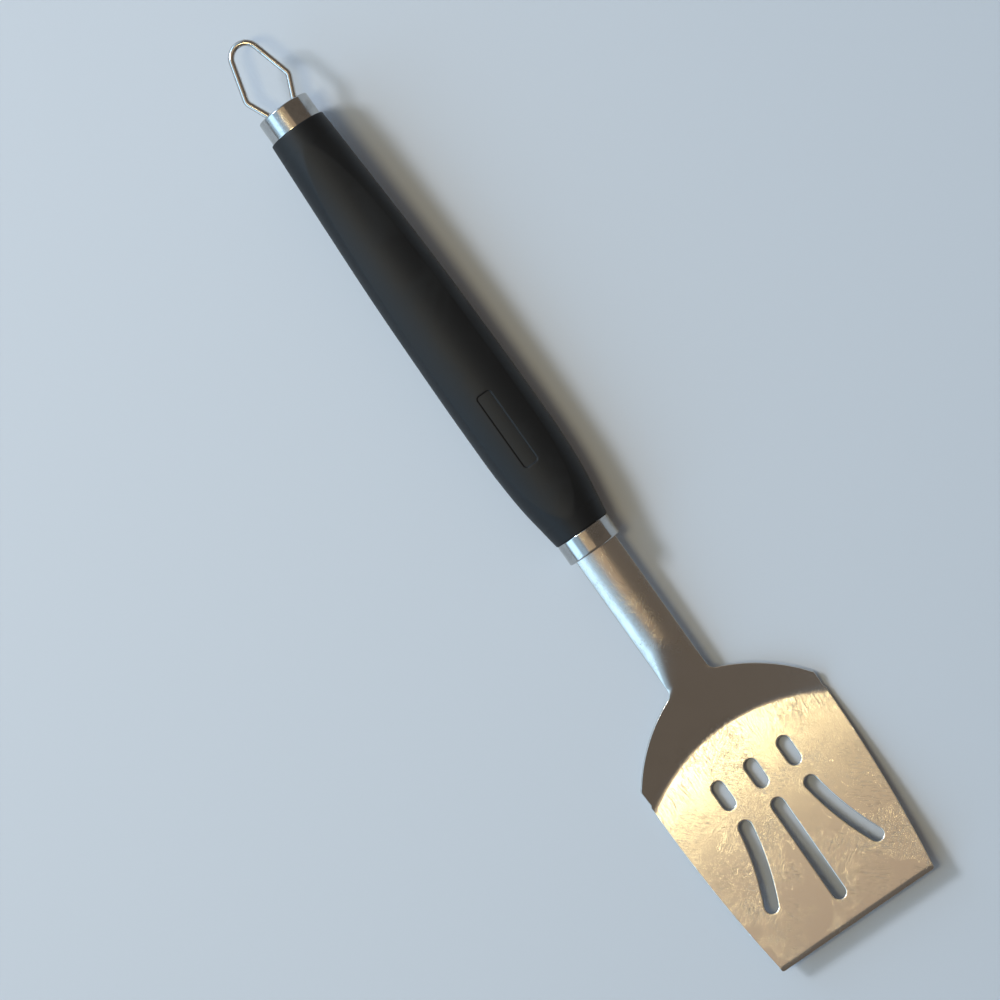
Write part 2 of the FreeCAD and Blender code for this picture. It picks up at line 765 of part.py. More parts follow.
side_angle = math.radians(dim("loop_side_angle"))
apex_corner = dim("loop_shoulder_x") - dim("loop_shoulder_y") / math.tan(side_angle)
apex_middle = dim("loop_apex") + dim("wire_radius")
apex_radius = (apex_middle - apex_corner) / (1 / math.sin(side_angle) - 1)
half_loop = [
    (dim("loop_pivot"), dim("loop_end_y"), dim("loop_bend_radius")),
    (dim("loop_pivot"), dim("loop_root_y"), dim("loop_bend_radius")),
    (dim("loop_pivot") - dim("loop_straight"), dim("loop_root_y"), dim("loop_shoulder_radius")),
    (dim("loop_shoulder_x"), dim("loop_shoulder_y"), dim("loop_shoulder_radius")),
]
loop_points = (
    [point(x, y) for x, y, radius in half_loop]
    + [point(apex_corner, 0)]
    + [point(x, -y) for x, y, radius in reversed(half_loop)]
)
corner_radii = [radius for x, y, radius in half_loop[1:]]
loop_path = shape_of(
    "loop_path", rounded_path(loop_points, corner_radii + [apex_radius] + corner_radii[::-1]))
wire_ring = doc.addObject("Part::Ellipse", "wire_ring")
bind(wire_ring, MajorRadius="Dimensions.wire_radius", MinorRadius="Dimensions.wire_radius")
wire_ring.Placement = at(dim("loop_pivot"), dim("loop_end_y"), 0, ALONG_Y)
loop = doc.addObject("Part::Sweep", "hanging_loop")
loop.Sections = [wire_ring]
loop.Spine = (loop_path, ["Edge%d" % (number + 1) for number in range(len(loop_path.Shape.Edges))])
loop.Solid = True
loop.Frenet = False

# ---------------------------------------------------------------- end plug
# A round plug split along its middle plane.  Each half holds half of the loop's two bearings,
# and a slot for each leg leaves the loop room to swing.
PLUG_OVERLAP = 1.0
BEARING_END_PLAY = 0.15
SCREW_HOLE_PLAY = 0.1
PLUG_ROOM = 30.0
plug_head_length = dim("handle_rear") - dim("core_spigot_length") - dim("plug_face")
plug_head = cylinder(
    "plug_head", "Dimensions.plug_radius",
    "Dimensions.handle_rear - Dimensions.core_spigot_length - Dimensions.plug_face",
    at(dim("plug_face"), 0, 0, ALONG_X))
plug_nose = cylinder("plug_nose", "Dimensions.plug_nose_radius",
                     "Dimensions.plug_nose_length + %r" % PLUG_OVERLAP,
                     at(dim("plug_face") + plug_head_length - PLUG_OVERLAP, 0, 0, ALONG_X))
leg_slots = [
    box("leg_slot_%d" % number,
        "Dimensions.plug_slot_floor - Dimensions.plug_face + %r" % PLUG_OVERLAP,
        "2 * Dimensions.plug_slot_half_width", "%r mm" % PLUG_ROOM,
        at(dim("plug_face") - PLUG_OVERLAP,
           side * dim("loop_root_y") - dim("plug_slot_half_width"), -PLUG_ROOM / 2))
    for number, side in enumerate((-1, 1))
]
bearing = cylinder("loop_bearing", "Dimensions.wire_radius + Dimensions.running_clearance",
                   "2 * (Dimensions.loop_end_y + %r)" % BEARING_END_PLAY,
                   at(dim("loop_pivot"), -(dim("loop_end_y") + BEARING_END_PLAY), 0, ALONG_Y))
plug_screw_hole = cylinder("plug_screw_hole", "Dimensions.screw_radius + %r" % SCREW_HOLE_PLAY,
                           "Dimensions.screw_length + 2 * %r" % PLUG_OVERLAP,
                           at(dim("plug_face") - PLUG_OVERLAP, 0, 0, ALONG_X))
whole_plug = cut("whole_plug", fuse("plug_blank", [plug_head, plug_nose]),
                 fuse("plug_hollows", leg_slots + [bearing, plug_screw_hole]))
plug_halves = [
    common(label, whole_plug,
           box(label + "_side", "%r mm" % PLUG_ROOM, "%r mm" % PLUG_ROOM,
               "%r mm" % (PLUG_ROOM / 2),
               at(dim("plug_face") - PLUG_OVERLAP, -PLUG_ROOM / 2, height)))
    for label, height in (("upper_plug_half", 0), ("lower_plug_half", -PLUG_ROOM / 2))
]

# One self-tapping screw holds both halves to the core.
SCREW_EDGE = 0.6
DRIVE_WIDTH = 0.8
DRIVE_LENGTH = 3.4
DRIVE_DEPTH = 0.8
screw_head = rounded(
    "screw_head",
    cylinder("screw_pan", "Dimensions.screw_head_radius", "Dimensions.screw_head_height",
             at(dim("plug_face") - dim("screw_head_height"), 0, 0, ALONG_X)),
    SCREW_EDGE,
    lambda edge: is_circle(edge, dim("screw_head_radius"),
                           dim("plug_face") - dim("screw_head_height")),
)
screw_shank = cylinder("screw_shank", "Dimensions.screw_radius", "Dimensions.screw_length",
                       at(dim("plug_face"), 0, 0, ALONG_X))
drive_slots = [
    box("drive_slot_%d" % number, "%r mm" % DRIVE_DEPTH, "%r mm" % wide, "%r mm" % high,
        at(dim("plug_face") - dim("screw_head_height"), -wide / 2, -high / 2))
    for number, (wide, high) in enumerate(((DRIVE_WIDTH, DRIVE_LENGTH),
                                           (DRIVE_LENGTH, DRIVE_WIDTH)))
]
screw = cut("plug_screw", fuse("screw_blank", [screw_head, screw_shank]),
            fuse("screw_drive", drive_slots))

# ---------------------------------------------------------------- lay down, test and write
SUB_PARTS = [
    blade_head, front_ferrule, core, grip, pins, rear_ferrule,
    plug_halves[0], plug_halves[1], screw, loop,
]
for part in SUB_PARTS:
    if part is not blade_head:
        part.Placement = handle_frame
doc.recompute()
for item in doc.Objects:
    if "Invalid" in item.State or "Error" in item.State:
        raise RuntimeError("%s did not compute: %s" % (item.Label, item.State))
os.makedirs("parts", exist_ok=True)
for part in SUB_PARTS:
    shape = part.Shape
    if shape.isNull() or not shape.isValid():
        raise RuntimeError("%s has no valid shape" % part.Label)
    extent = shape.optimalBoundingBox(False)
    print("%-16s %d solid(s) %8.0f mm3  x %.2f..%.2f  y %.2f..%.2f  z %.2f..%.2f" % (
        part.Label, len(shape.Solids), shape.Volume, extent.XMin, extent.XMax,
        extent.YMin, extent.YMax, extent.ZMin, extent.ZMax))
    shape.exportStep("parts/%s.step" % part.Label)
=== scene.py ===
import math

import bpy
import numpy as np
from mathutils import Matrix, Vector
from mathutils.geometry import delaunay_2d_cdt


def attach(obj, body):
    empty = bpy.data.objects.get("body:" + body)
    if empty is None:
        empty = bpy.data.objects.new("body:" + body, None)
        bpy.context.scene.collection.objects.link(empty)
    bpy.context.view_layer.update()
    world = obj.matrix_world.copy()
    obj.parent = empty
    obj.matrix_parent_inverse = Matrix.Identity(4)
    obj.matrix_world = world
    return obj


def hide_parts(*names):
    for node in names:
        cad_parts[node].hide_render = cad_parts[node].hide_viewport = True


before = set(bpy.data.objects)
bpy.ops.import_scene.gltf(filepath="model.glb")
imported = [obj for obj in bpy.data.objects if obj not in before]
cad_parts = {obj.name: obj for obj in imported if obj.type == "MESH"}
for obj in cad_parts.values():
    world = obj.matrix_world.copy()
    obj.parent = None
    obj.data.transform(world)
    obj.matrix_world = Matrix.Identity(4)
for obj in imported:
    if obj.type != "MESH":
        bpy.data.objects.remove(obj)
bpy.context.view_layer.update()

# ---------------------------------------------------------------- blade head
# One stainless pressing, 1.5 mm thick: slotted blade, curved fold, dished shoulders, arched neck
# and the tang that runs on inside the handle. Blanked, pressed, its edges tumbled round, then
# brushed. Sizes are millimetres until a mesh is made.
MM = 0.001
SHEET = 1.5
BLADE_PITCH = math.radians(5.5)
HEEL = 133.9
FOLD_ARC = 93.0
FOLD_ANGLE = math.radians(24.3)
FOLD_CORNER = 92.68
FOLD_INSIDE = 7.0
FOLD_INSIDE_AT_ENDS = 12.0
FOLD_END_TURN = math.radians(31)
FRONT_BEVEL_START = 105.0
FRONT_BEVEL_SLOPE = 0.30
HANDLE_PITCH = math.radians(2.0)
HANDLE_HEIGHT = 15.51
NECK_TOP = 2.2
NECK_RADIUS = 16.0
NECK_HALF = 10.9
TANG_HALF = 8.0
TANG_START = -44.0
TANG_SHOULDER = 30.0
PIN_PLACES = [6.0, -30.0]
PIN_HOLE = 1.55
# Past its end the neck's arch is lifted clear of the shoulders, and beside it the arch runs
# straight on for a short way, so that the two only meet at the root.
NECK_END = 107.5
NECK_LIFT = 0.9
NECK_RUN_ON = 1.5
SHOULDER_BLEND = 3.2

arc_middle = HEEL + FOLD_ARC * math.cos(BLADE_PITCH)
# Height of the fold's centre over the bench.
arc_lift = 8.864


def soft_min(a, b, reach):
    """The lower of two heights, with the ridge between them rounded over a reach."""
    near = np.maximum(reach - np.abs(a - b), 0) / reach
    return np.minimum(a, b) - near * near * reach / 4


def dish_height(along, side):
    """Upper face over the blade's own plane: flat, then a bend that is softer at its two ends."""
    radius = np.hypot(along, side)
    turn = np.minimum(np.abs(np.arctan2(side, -along)) / FOLD_END_TURN, 1)
    inside = FOLD_INSIDE + (FOLD_INSIDE_AT_ENDS - FOLD_INSIDE) * turn ** 2
    past = np.maximum(radius - FOLD_CORNER + inside * math.tan(FOLD_ANGLE / 2), 0)
    run = inside * math.sin(FOLD_ANGLE)
    bend = np.minimum(past, run)
    rise = inside - np.sqrt(inside ** 2 - bend ** 2)
    return SHEET + rise + np.maximum(past - run, 0) * math.tan(FOLD_ANGLE)


def arch_height(y):
    """Upper face of the neck over the handle's axis, running on straight past its edges."""
    side = np.minimum(np.abs(y), NECK_HALF)
    middle = np.sqrt(NECK_RADIUS ** 2 - side ** 2)
    beyond = np.minimum(np.abs(y) - side, NECK_RUN_ON)
    return NECK_TOP - (NECK_RADIUS - middle) - beyond * side / middle


def bevel_drop(along):
    """How far the ground bevel brings the upper face down at the blade's front edge."""
    return np.maximum(along + FOLD_ARC - FRONT_BEVEL_START, 0) * FRONT_BEVEL_SLOPE


def pressing_height(x, y):
    """Height of the pressing's upper face over the bench."""
    lift = np.full_like(x, SHEET)
    for _ in range(5):
        along = (x - arc_middle + lift * math.sin(BLADE_PITCH)) / math.cos(BLADE_PITCH)
        lift = dish_height(along, y)
    lift -= bevel_drop(along)
    dish = arc_lift + along * math.sin(BLADE_PITCH) + lift * math.cos(BLADE_PITCH)
    arch = HANDLE_HEIGHT - x * math.tan(HANDLE_PITCH) + arch_height(y) / math.cos(HANDLE_PITCH)
    arch += np.maximum(x - NECK_END, 0) * NECK_LIFT
    return soft_min(dish, arch, SHOULDER_BLEND)


def pressing_face(spots):
    """Places and outward normals of the upper face over an array of plan points."""
    x, y = spots[:, 0], spots[:, 1]
    step = 0.02
    slope_x = (pressing_height(x + step, y) - pressing_height(x - step, y)) / (2 * step)
    slope_y = (pressing_height(x, y + step) - pressing_height(x, y - step)) / (2 * step)
    normals = np.stack([-slope_x, -slope_y, np.ones_like(x)], 1)
    normals /= np.linalg.norm(normals, axis=1)[:, None]
    thickness = SHEET - bevel_drop((x - arc_middle) / math.cos(BLADE_PITCH))
    return np.stack([x, y, pressing_height(x, y)], 1), normals, thickness[:, None]


def on_blade(forward, side):
    """Plan point from a distance past the fold's middle and a distance to the side."""
    along = forward - FOLD_ARC
    lift = float(dish_height(along, side))
    return (arc_middle + along * math.cos(BLADE_PITCH) - lift * math.sin(BLADE_PITCH), side)


def arc_through(start, middle, end, steps):
    """Points on the circle through three spots, the last one left out."""
    (ax, ay), (bx, by), (cx, cy) = start, middle, end
    d = 2 * (ax * (by - cy) + bx * (cy - ay) + cx * (ay - by))
    a, b, c = ax * ax + ay * ay, bx * bx + by * by, cx * cx + cy * cy
    centre = Vector(((a * (by - cy) + b * (cy - ay) + c * (ay - by)) / d,
                     (a * (cx - bx) + b * (ax - cx) + c * (bx - ax)) / d))
    first = Vector(start) - centre
    turn = (Vector(middle) - centre).angle_signed(first)
    turn += (Vector(end) - centre).angle_signed(Vector(middle) - centre)
    return [tuple(centre + Matrix.Rotation(turn * n / steps, 2) @ first) for n in range(steps)]


def rounded_corner(before, spot, after, radius, steps=6):
    """Points of the arc that rounds a corner between two straight runs."""
    spot = Vector(spot)
    back = (Vector(before) - spot).normalized()
    ahead = (Vector(after) - spot).normalized()
    half = back.angle(ahead) / 2
    centre = spot + (back + ahead).normalized() * (radius / math.sin(half))
    entry = spot + back * (radius / math.tan(half)) - centre
    turn = (spot + ahead * (radius / math.tan(half)) - centre).angle_signed(entry)
    return [tuple(centre + Matrix.Rotation(turn * n / steps, 2) @ entry) for n in range(steps + 1)]


def even_loop(corners, pitch):
    """A closed line with its long runs divided to a pitch."""
    loop = []
    for start, end in zip(corners, corners[1:] + corners[:1]):
        length = math.dist(start, end)
        parts = max(1, round(length / pitch))
        loop += [tuple(Vector(start).lerp(Vector(end), n / parts)) for n in range(parts)
                 if length > 1e-6]
    return np.array(loop)


def head_outline():
    """Outside edge of the whole pressing, material on its left."""
    side = (
        [on_blade(106.5, 0)]
        + rounded_corner(on_blade(106.5, 0), on_blade(106.5, 41.1), on_blade(100.0, 42.0), 1.3)
        + arc_through(on_blade(100.0, 42.0), on_blade(60.5, 46.1), on_blade(14.6, 47.86), 40)
        + rounded_corner(on_blade(14.6, 47.86), on_blade(13.4, 47.95), on_blade(12.0, 47.2), 0.8)
        + [on_blade(12.0, 47.2)]
        + rounded_corner(on_blade(12.0, 47.2), on_blade(4.9, 47.3), on_blade(2.7, 45.5), 1.5)
        + arc_through(on_blade(3.6, 46.2), on_blade(-11.4, 31.0), on_blade(-21.6, 13.4), 30)
        + arc_through(on_blade(-21.6, 13.4), on_blade(-23.3, 11.56), on_blade(-25.9, 10.9), 6)
        + [on_blade(-25.9, 10.9), (TANG_SHOULDER, NECK_HALF), (TANG_SHOULDER, TANG_HALF)]
        + rounded_corner((TANG_SHOULDER, TANG_HALF), (TANG_START, TANG_HALF), (TANG_START, 0), 2.0)
    )
    other = [(x, -y) for x, y in reversed(side[1:])]
    return even_loop(side + other, 0.7)


def half_turn_about(spot, arm, steps=10):
    """Points of a half circle that turns to the right, its two ends left out."""
    turns = [Matrix.Rotation(-math.pi * n / steps, 2) for n in range(1, steps)]
    return [tuple(Vector(spot) + turn @ Vector(arm)) for turn in turns]


def slot_outline(middle_line, half_width):
    """Edge of a round-ended slot round its middle line, material on its left."""
    line = np.array(middle_line)
    ways = np.gradient(line, axis=0)
    ways /= np.linalg.norm(ways, axis=1)[:, None]
    across = np.stack([ways[:, 1], -ways[:, 0]], 1) * half_width
    loop = [tuple(spot) for spot in line - across]
    loop += half_turn_about(line[-1], -across[-1])
    loop += [tuple(spot) for spot in (line + across)[::-1]]
    loop += half_turn_about(line[0], across[0])
    return even_loop(loop, 0.6)


def hole_outline(x, radius, steps=20):
    """Edge of a round hole on the middle line, material on its left."""
    turns = [-2 * math.pi * n / steps for n in range(steps)]
    return np.array([(x + radius * math.cos(a), radius * math.sin(a)) for a in turns])


def outward(loop):
    """Plan directions that point away from the material along a loop."""
    way = np.roll(loop, -1, axis=0) - np.roll(loop, 1, axis=0)
    way /= np.linalg.norm(way, axis=1)[:, None]
    return np.stack([way[:, 1], -way[:, 0]], 1)


def encloses(loop, spots):
    """Whether each plan point lies inside a closed loop."""
    inside = np.zeros(len(spots), bool)
    for (ax, ay), (bx, by) in zip(loop, np.roll(loop, -1, axis=0)):
        if ay != by:
            crossing = (spots[:, 1] < ay) != (spots[:, 1] < by)
            inside ^= crossing & (spots[:, 0] < ax + (spots[:, 1] - ay) * (bx - ax) / (by - ay))
    return inside


def clearance(loop, spots):
    """Distance from each plan point to the nearest point of a loop."""
    nearest = np.full(len(spots), 1e9)
    for corner in loop:
        nearest = np.minimum(nearest, np.hypot(*(spots - corner).T))
    return nearest


def plain_mesh(name, verts, faces, material, sizes_in=MM):
    """A smooth-shaded object at the origin with its place in its mesh."""
    mesh = bpy.data.meshes.new(name)
    mesh.from_pydata([tuple(v) for v in np.array(verts) * sizes_in], [], faces)
    mesh.polygons.foreach_set("use_smooth", [True] * len(mesh.polygons))
    mesh.materials.append(material)
    mesh.update()
    piece = bpy.data.objects.new(name, mesh)
    bpy.context.scene.collection.objects.link(piece)
    return piece


# Turns of a rounded edge in degrees, down from the upper face and then on to the lower one.
RIM_STEPS = [(30, True), (60, True), (90, True), (90, False), (60, False), (30, False)]
# Room between an edge's rounding and the first points inside it.
RIM_GUARD = 0.25
RIM_CLEAR = 0.7


def pressed_sheet(name, loops, rims, extra, face_at, material):
    """A sheet with holes: both faces, and a rounded edge round every loop.

    loops are the outside edge and then the holes; rims are their edge radii; extra are more plan
    points; face_at gives the upper face, its normals and the thickness. An attribute named rim
    marks the rounded edges.
    """
    rings = [loop - outward(loop) * rim for loop, rim in zip(loops, rims)]
    guards = [loop - outward(loop) * (rim + RIM_GUARD) for loop, rim in zip(loops, rims)]
    edges = []
    start = 0
    for ring in rings:
        count = len(ring)
        edges += [(start + n, start + (n + 1) % count) for n in range(count)]
        start += count
    plan = np.concatenate(rings + guards + [extra])
    flat, _, triangles, origins, _, _ = delaunay_2d_cdt(
        [Vector(p) for p in plan], edges, [], 0, 1e-6)
    flat = np.array([tuple(p) for p in flat])
    place = {}
    for new, olds in enumerate(origins):
        for old in olds:
            place[old] = new
    triangles = np.array(triangles)
    centres = flat[triangles].mean(axis=1)
    kept = encloses(rings[0], centres)
    for ring in rings[1:]:
        kept &= ~encloses(ring, centres)
    triangles = triangles[kept]
    upper, normals, thickness = face_at(flat)
    verts = [upper, upper - normals * thickness]
    faces = [tuple(t) for t in triangles] + [tuple(t[::-1] + len(flat)) for t in triangles]
    rim_marks = [np.zeros(2 * len(flat))]
    total = 2 * len(flat)
    start = 0
    for loop, ring, rim in zip(loops, rings, rims):
        count = len(ring)
        top = [place[start + n] for n in range(count)]
        low = [index + len(flat) for index in top]
        side = np.concatenate([outward(loop), np.zeros((count, 1))], 1)
        normal = normals[top]
        side -= normal * (side * normal).sum(1)[:, None]
        side /= np.linalg.norm(side, axis=1)[:, None]
        rows = [top]
        for turn, from_top in RIM_STEPS:
            reach = rim * math.sin(math.radians(turn))
            drop = rim * (1 - math.cos(math.radians(turn)))
            depth = drop if from_top else thickness[top] - drop
            verts.append(upper[top] + side * reach - normal * depth)
            rows.append(list(range(total, total + count)))
            total += count
        rim_marks.append(np.ones(len(RIM_STEPS) * count))
        rows.append(low)
        for high_row, low_row in zip(rows, rows[1:]):
            for n in range(count):
                after = (n + 1) % count
                faces.append((high_row[n], low_row[n], low_row[after], high_row[after]))
        start += count
    piece = plain_mesh(name, np.concatenate(verts), faces, material)
    marks = piece.data.attributes.new("rim", "FLOAT", "POINT")
    marks.data.foreach_set("value", np.concatenate(rim_marks))
    return piece


def spread_points(loops, rims, pitch):
    """Staggered points over a sheet, clear of its edges."""
    low, high = loops[0].min(0), loops[0].max(0)
    rows = np.arange(low[1], high[1], pitch * 0.866)
    grid = []
    for n, y in enumerate(rows):
        across = np.arange(low[0] + (n % 2) * pitch / 2, high[0], pitch)
        grid.append(np.stack([across, np.full(len(across), y)], 1))
    grid = np.concatenate(grid)
    kept = encloses(loops[0], grid)
    for loop, rim in zip(loops, rims):
        kept &= clearance(loop, grid) > rim + RIM_CLEAR
    for loop in loops[1:]:
        kept &= ~encloses(loop, grid)
    return grid[kept]


def fold_points():
    """Close rows of points along the fold, so that its bend is smooth."""
    rows = []
    for radius in np.arange(FOLD_CORNER - 3.2, FOLD_CORNER + 3.4, 0.45):
        half_turn = math.asin(46.4 / radius)
        for turn in np.linspace(-half_turn, half_turn, 150):
            rows.append(on_blade(FOLD_ARC - radius * math.cos(turn), radius * math.sin(turn)))
    return np.array(rows)


def add(tree, kind, sockets=None, **settings):
    """A node with its settings, its sockets given a value or wired to another node's output."""
    made = tree.nodes.new(kind)
    for key, value in settings.items():
        setattr(made, key, value)
    for key, value in (sockets or {}).items():
        if isinstance(value, bpy.types.NodeSocket):
            tree.links.new(value, made.inputs[key])
        else:
            made.inputs[key].default_value = value
    return made


def effect(name, inputs, output):
    """An empty shader group with float inputs and one float output."""
    tree = bpy.data.node_groups.new(name, "ShaderNodeTree")
    for label, value in inputs.items():
        socket = tree.interface.new_socket(label, in_out="INPUT", socket_type="NodeSocketFloat")
        socket.default_value = value
    tree.interface.new_socket(output, in_out="OUTPUT", socket_type="NodeSocketFloat")
    return tree, tree.nodes.new("NodeGroupInput").outputs, tree.nodes.new("NodeGroupOutput").inputs


def millimetres(tree):
    """Places on the object, in millimetres."""
    spot = add(tree, "ShaderNodeTexCoord").outputs["Object"]
    return add(tree, "ShaderNodeVectorMath", {0: spot, 1: (1000, 1000, 1000)},
               operation="MULTIPLY").outputs[0]


def stretched_noise(tree, spot, length, width, detail=2.0):
    """Noise drawn out along the first axis: cells of this length and width."""
    longest = add(tree, "ShaderNodeMath", {0: 1.0, 1: length}, operation="DIVIDE").outputs[0]
    finest = add(tree, "ShaderNodeMath", {0: 1.0, 1: width}, operation="DIVIDE").outputs[0]
    scale = add(tree, "ShaderNodeCombineXYZ", {0: longest, 1: finest, 2: finest}).outputs[0]
    place = add(tree, "ShaderNodeVectorMath", {0: spot, 1: scale}, operation="MULTIPLY").outputs[0]
    return add(tree, "ShaderNodeTexNoise", {"Vector": place, "Scale": 1.0, "Detail": detail,
                                            "Roughness": 0.55}).outputs[0]


def step_between(tree, value, low, high):
    """0 below low, 1 above high."""
    return add(tree, "ShaderNodeMapRange", {"Value": value, "From Min": low, "From Max": high},
               interpolation_type="SMOOTHSTEP").outputs[0]


def times(tree, a, b):
    return add(tree, "ShaderNodeMath", {0: a, 1: b}, operation="MULTIPLY").outputs[0]


def plus(tree, a, b):
    return add(tree, "ShaderNodeMath", {0: a, 1: b}, operation="ADD").outputs[0]


brush_grain, given, result = effect("brush_grain", {"Length": 9.0, "Width": 0.12}, "Lines")
lines = stretched_noise(brush_grain, millimetres(brush_grain), given["Length"], given["Width"])
brush_grain.links.new(step_between(brush_grain, lines, 0.3, 0.7), result["Lines"])

scratches, given, result = effect(
    "scratches", {"Angle": 0.0, "Length": 12.0, "Width": 0.16, "Sparsity": 0.66}, "Scratches")
turned = add(scratches, "ShaderNodeVectorRotate",
             {"Vector": millimetres(scratches), "Angle": given["Angle"]},
             rotation_type="Z_AXIS").outputs[0]
streaks = stretched_noise(scratches, turned, given["Length"], given["Width"], 0.0)
edge = add(scratches, "ShaderNodeMath", {0: given["Sparsity"], 1: 0.05}, operation="ADD").outputs[0]
kept = step_between(scratches, streaks, given["Sparsity"], edge)
areas = add(scratches, "ShaderNodeTexNoise", {"Vector": turned, "Scale": 0.055}).outputs[0]
kept = times(scratches, kept, step_between(scratches, areas, 0.47, 0.60))
scratches.links.new(kept, result["Scratches"])

smudges, given, result = effect("smudges", {"Size": 25.0, "Cover": 0.5}, "Smudges")
scaled = add(smudges, "ShaderNodeMath", {0: 1.0, 1: given["Size"]}, operation="DIVIDE").outputs[0]
cloud = add(smudges, "ShaderNodeTexNoise",
            {"Vector": millimetres(smudges), "Scale": scaled, "Detail": 5.0, "Roughness": 0.62,
             "Distortion": 0.6}).outputs[0]
upper = add(smudges, "ShaderNodeMath", {0: given["Cover"], 1: 0.22}, operation="ADD").outputs[0]
smudges.links.new(step_between(smudges, cloud, given["Cover"], upper), result["Smudges"])

dried_drops, given, result = effect("dried_drops", {"Spacing": 16.0, "Radius": 1.9}, "Rings")
scaled = add(dried_drops, "ShaderNodeMath", {0: 1.0, 1: given["Spacing"]},
             operation="DIVIDE").outputs[0]
cells = add(dried_drops, "ShaderNodeTexVoronoi",
            {"Vector": millimetres(dried_drops), "Scale": scaled}, voronoi_dimensions="2D")
distance = times(dried_drops, cells.outputs["Distance"], given["Spacing"])
off_ring = add(dried_drops, "ShaderNodeMath", {0: distance, 1: given["Radius"]},
               operation="SUBTRACT").outputs[0]
off_ring = add(dried_drops, "ShaderNodeMath", {0: off_ring}, operation="ABSOLUTE").outputs[0]
ring = add(dried_drops, "ShaderNodeMapRange",
           {"Value": off_ring, "From Min": 0.0, "From Max": 0.28, "To Min": 1.0, "To Max": 0.0},
           interpolation_type="SMOOTHSTEP").outputs[0]
chance = add(dried_drops, "ShaderNodeSeparateColor", {0: cells.outputs["Color"]}).outputs[0]
dried_drops.links.new(times(dried_drops, ring, step_between(dried_drops, chance, 0.80, 0.82)),
                      result["Rings"])

specks, given, result = effect("specks", {"Spacing": 9.0, "Radius": 0.3}, "Specks")
scaled = add(specks, "ShaderNodeMath", {0: 1.0, 1: given["Spacing"]}, operation="DIVIDE").outputs[0]
cells = add(specks, "ShaderNodeTexVoronoi", {"Vector": millimetres(specks), "Scale": scaled})
distance = times(specks, cells.outputs["Distance"], given["Spacing"])
dot = add(specks, "ShaderNodeMath", {0: distance, 1: given["Radius"]}, operation="LESS_THAN")
chance = add(specks, "ShaderNodeSeparateColor", {0: cells.outputs["Color"]}).outputs[0]
specks.links.new(times(specks, dot.outputs[0], step_between(specks, chance, 0.55, 0.57)),
                 result["Specks"])


def use(tree, group, **values):
    """The output of a shader group placed in a material with its own values."""
    placed = add(tree, "ShaderNodeGroup", node_tree=group)
    for label, value in values.items():
        placed.inputs[label.capitalize()].default_value = value
    return placed.outputs[0]


def new_finish(name):
    """An empty material, its node tree and its shader."""
    material = bpy.data.materials.new(name)
    material.use_nodes = True
    return material, material.node_tree, material.node_tree.nodes["Principled BSDF"]


def tint(tree, amount, low, high):
    """A colour between two, by an amount that varies."""
    mixed = add(tree, "ShaderNodeMix", {"Factor": amount}, data_type="RGBA", clamp_factor=False)
    mixed.inputs[6].default_value = (*low, 1)
    mixed.inputs[7].default_value = (*high, 1)
    return mixed.outputs[2]


def level(tree, amount, low, high):
    """A number between two, by an amount that varies."""
    return add(tree, "ShaderNodeMapRange",
               {"Value": amount, "To Min": low, "To Max": high}).outputs[0]


def relief(tree, height, depth):
    """A normal from a height map, its depth in millimetres."""
    return add(tree, "ShaderNodeBump", {"Height": height, "Distance": depth * MM}).outputs[0]


# Brushed along the tool, with press wrinkles inside the fold, wiping swirls and dried drops.
blade_steel, tree, shader = new_finish("blade_steel")
grain = use(tree, brush_grain, length=7.0, width=0.13)
wiped = plus(tree, use(tree, scratches, angle=0.9, length=6.0, width=0.3, sparsity=0.58),
             use(tree, scratches, angle=2.3, length=9.0, width=0.24, sparsity=0.62))
wiped = plus(tree, wiped, use(tree, scratches, angle=0.25, length=26.0, width=0.18, sparsity=0.70))
spot = millimetres(tree)
from_arc = add(tree, "ShaderNodeVectorMath", {0: spot, 1: (arc_middle, 0, arc_lift)},
               operation="DISTANCE").outputs["Value"]
near_fold = times(tree, step_between(tree, from_arc, 74.0, 86.0),
                  step_between(tree, from_arc, 93.2, 91.2))
wavy = add(tree, "ShaderNodeTexNoise", {"Vector": spot, "Scale": 0.16, "Detail": 1.0}).outputs[1]
wavy = add(tree, "ShaderNodeVectorMath", {0: wavy, 1: (0.0, 3.0, 0.0)},
           operation="MULTIPLY_ADD").outputs[0]
tree.links.new(spot, wavy.node.inputs[2])
wrinkles = stretched_noise(tree, wavy, 7.0, 0.75)
wrinkles = times(tree, step_between(tree, wrinkles, 0.50, 0.66), near_fold)
on_shoulders = times(tree, step_between(tree, from_arc, 92.0, 96.0),
                     step_between(tree, from_arc, 132.0, 124.0))
wiped = times(tree, wiped, level(tree, on_shoulders, 1.0, 0.15))
film = use(tree, smudges, size=30.0, cover=0.46)
rings = use(tree, dried_drops, spacing=15.0, radius=1.7)
dirt = use(tree, specks, spacing=11.0, radius=0.32)
rim = add(tree, "ShaderNodeAttribute", attribute_name="rim").outputs["Fac"]
marks = add(tree, "ShaderNodeMath", {0: plus(tree, wrinkles, rings), 1: wiped}, operation="MAXIMUM")
tone = tint(tree, level(tree, film, 0.0, 0.3), (0.62, 0.595, 0.56), (0.55, 0.51, 0.46))
darker = add(tree, "ShaderNodeMix", {"Factor": level(tree, marks.outputs[0], 0, 0.38), 6: tone},
             data_type="RGBA")
darker.inputs[7].default_value = (0.34, 0.29, 0.23, 1)
spotted = add(tree, "ShaderNodeMix", {"Factor": dirt, 6: darker.outputs[2]}, data_type="RGBA")
spotted.inputs[7].default_value = (0.10, 0.075, 0.055, 1)
tree.links.new(spotted.outputs[2], shader.inputs["Base Color"])
gloss = plus(tree, level(tree, grain, 0.165, 0.21), level(tree, film, 0.0, 0.025))
gloss = plus(tree, gloss, level(tree, marks.outputs[0], 0.0, 0.07))
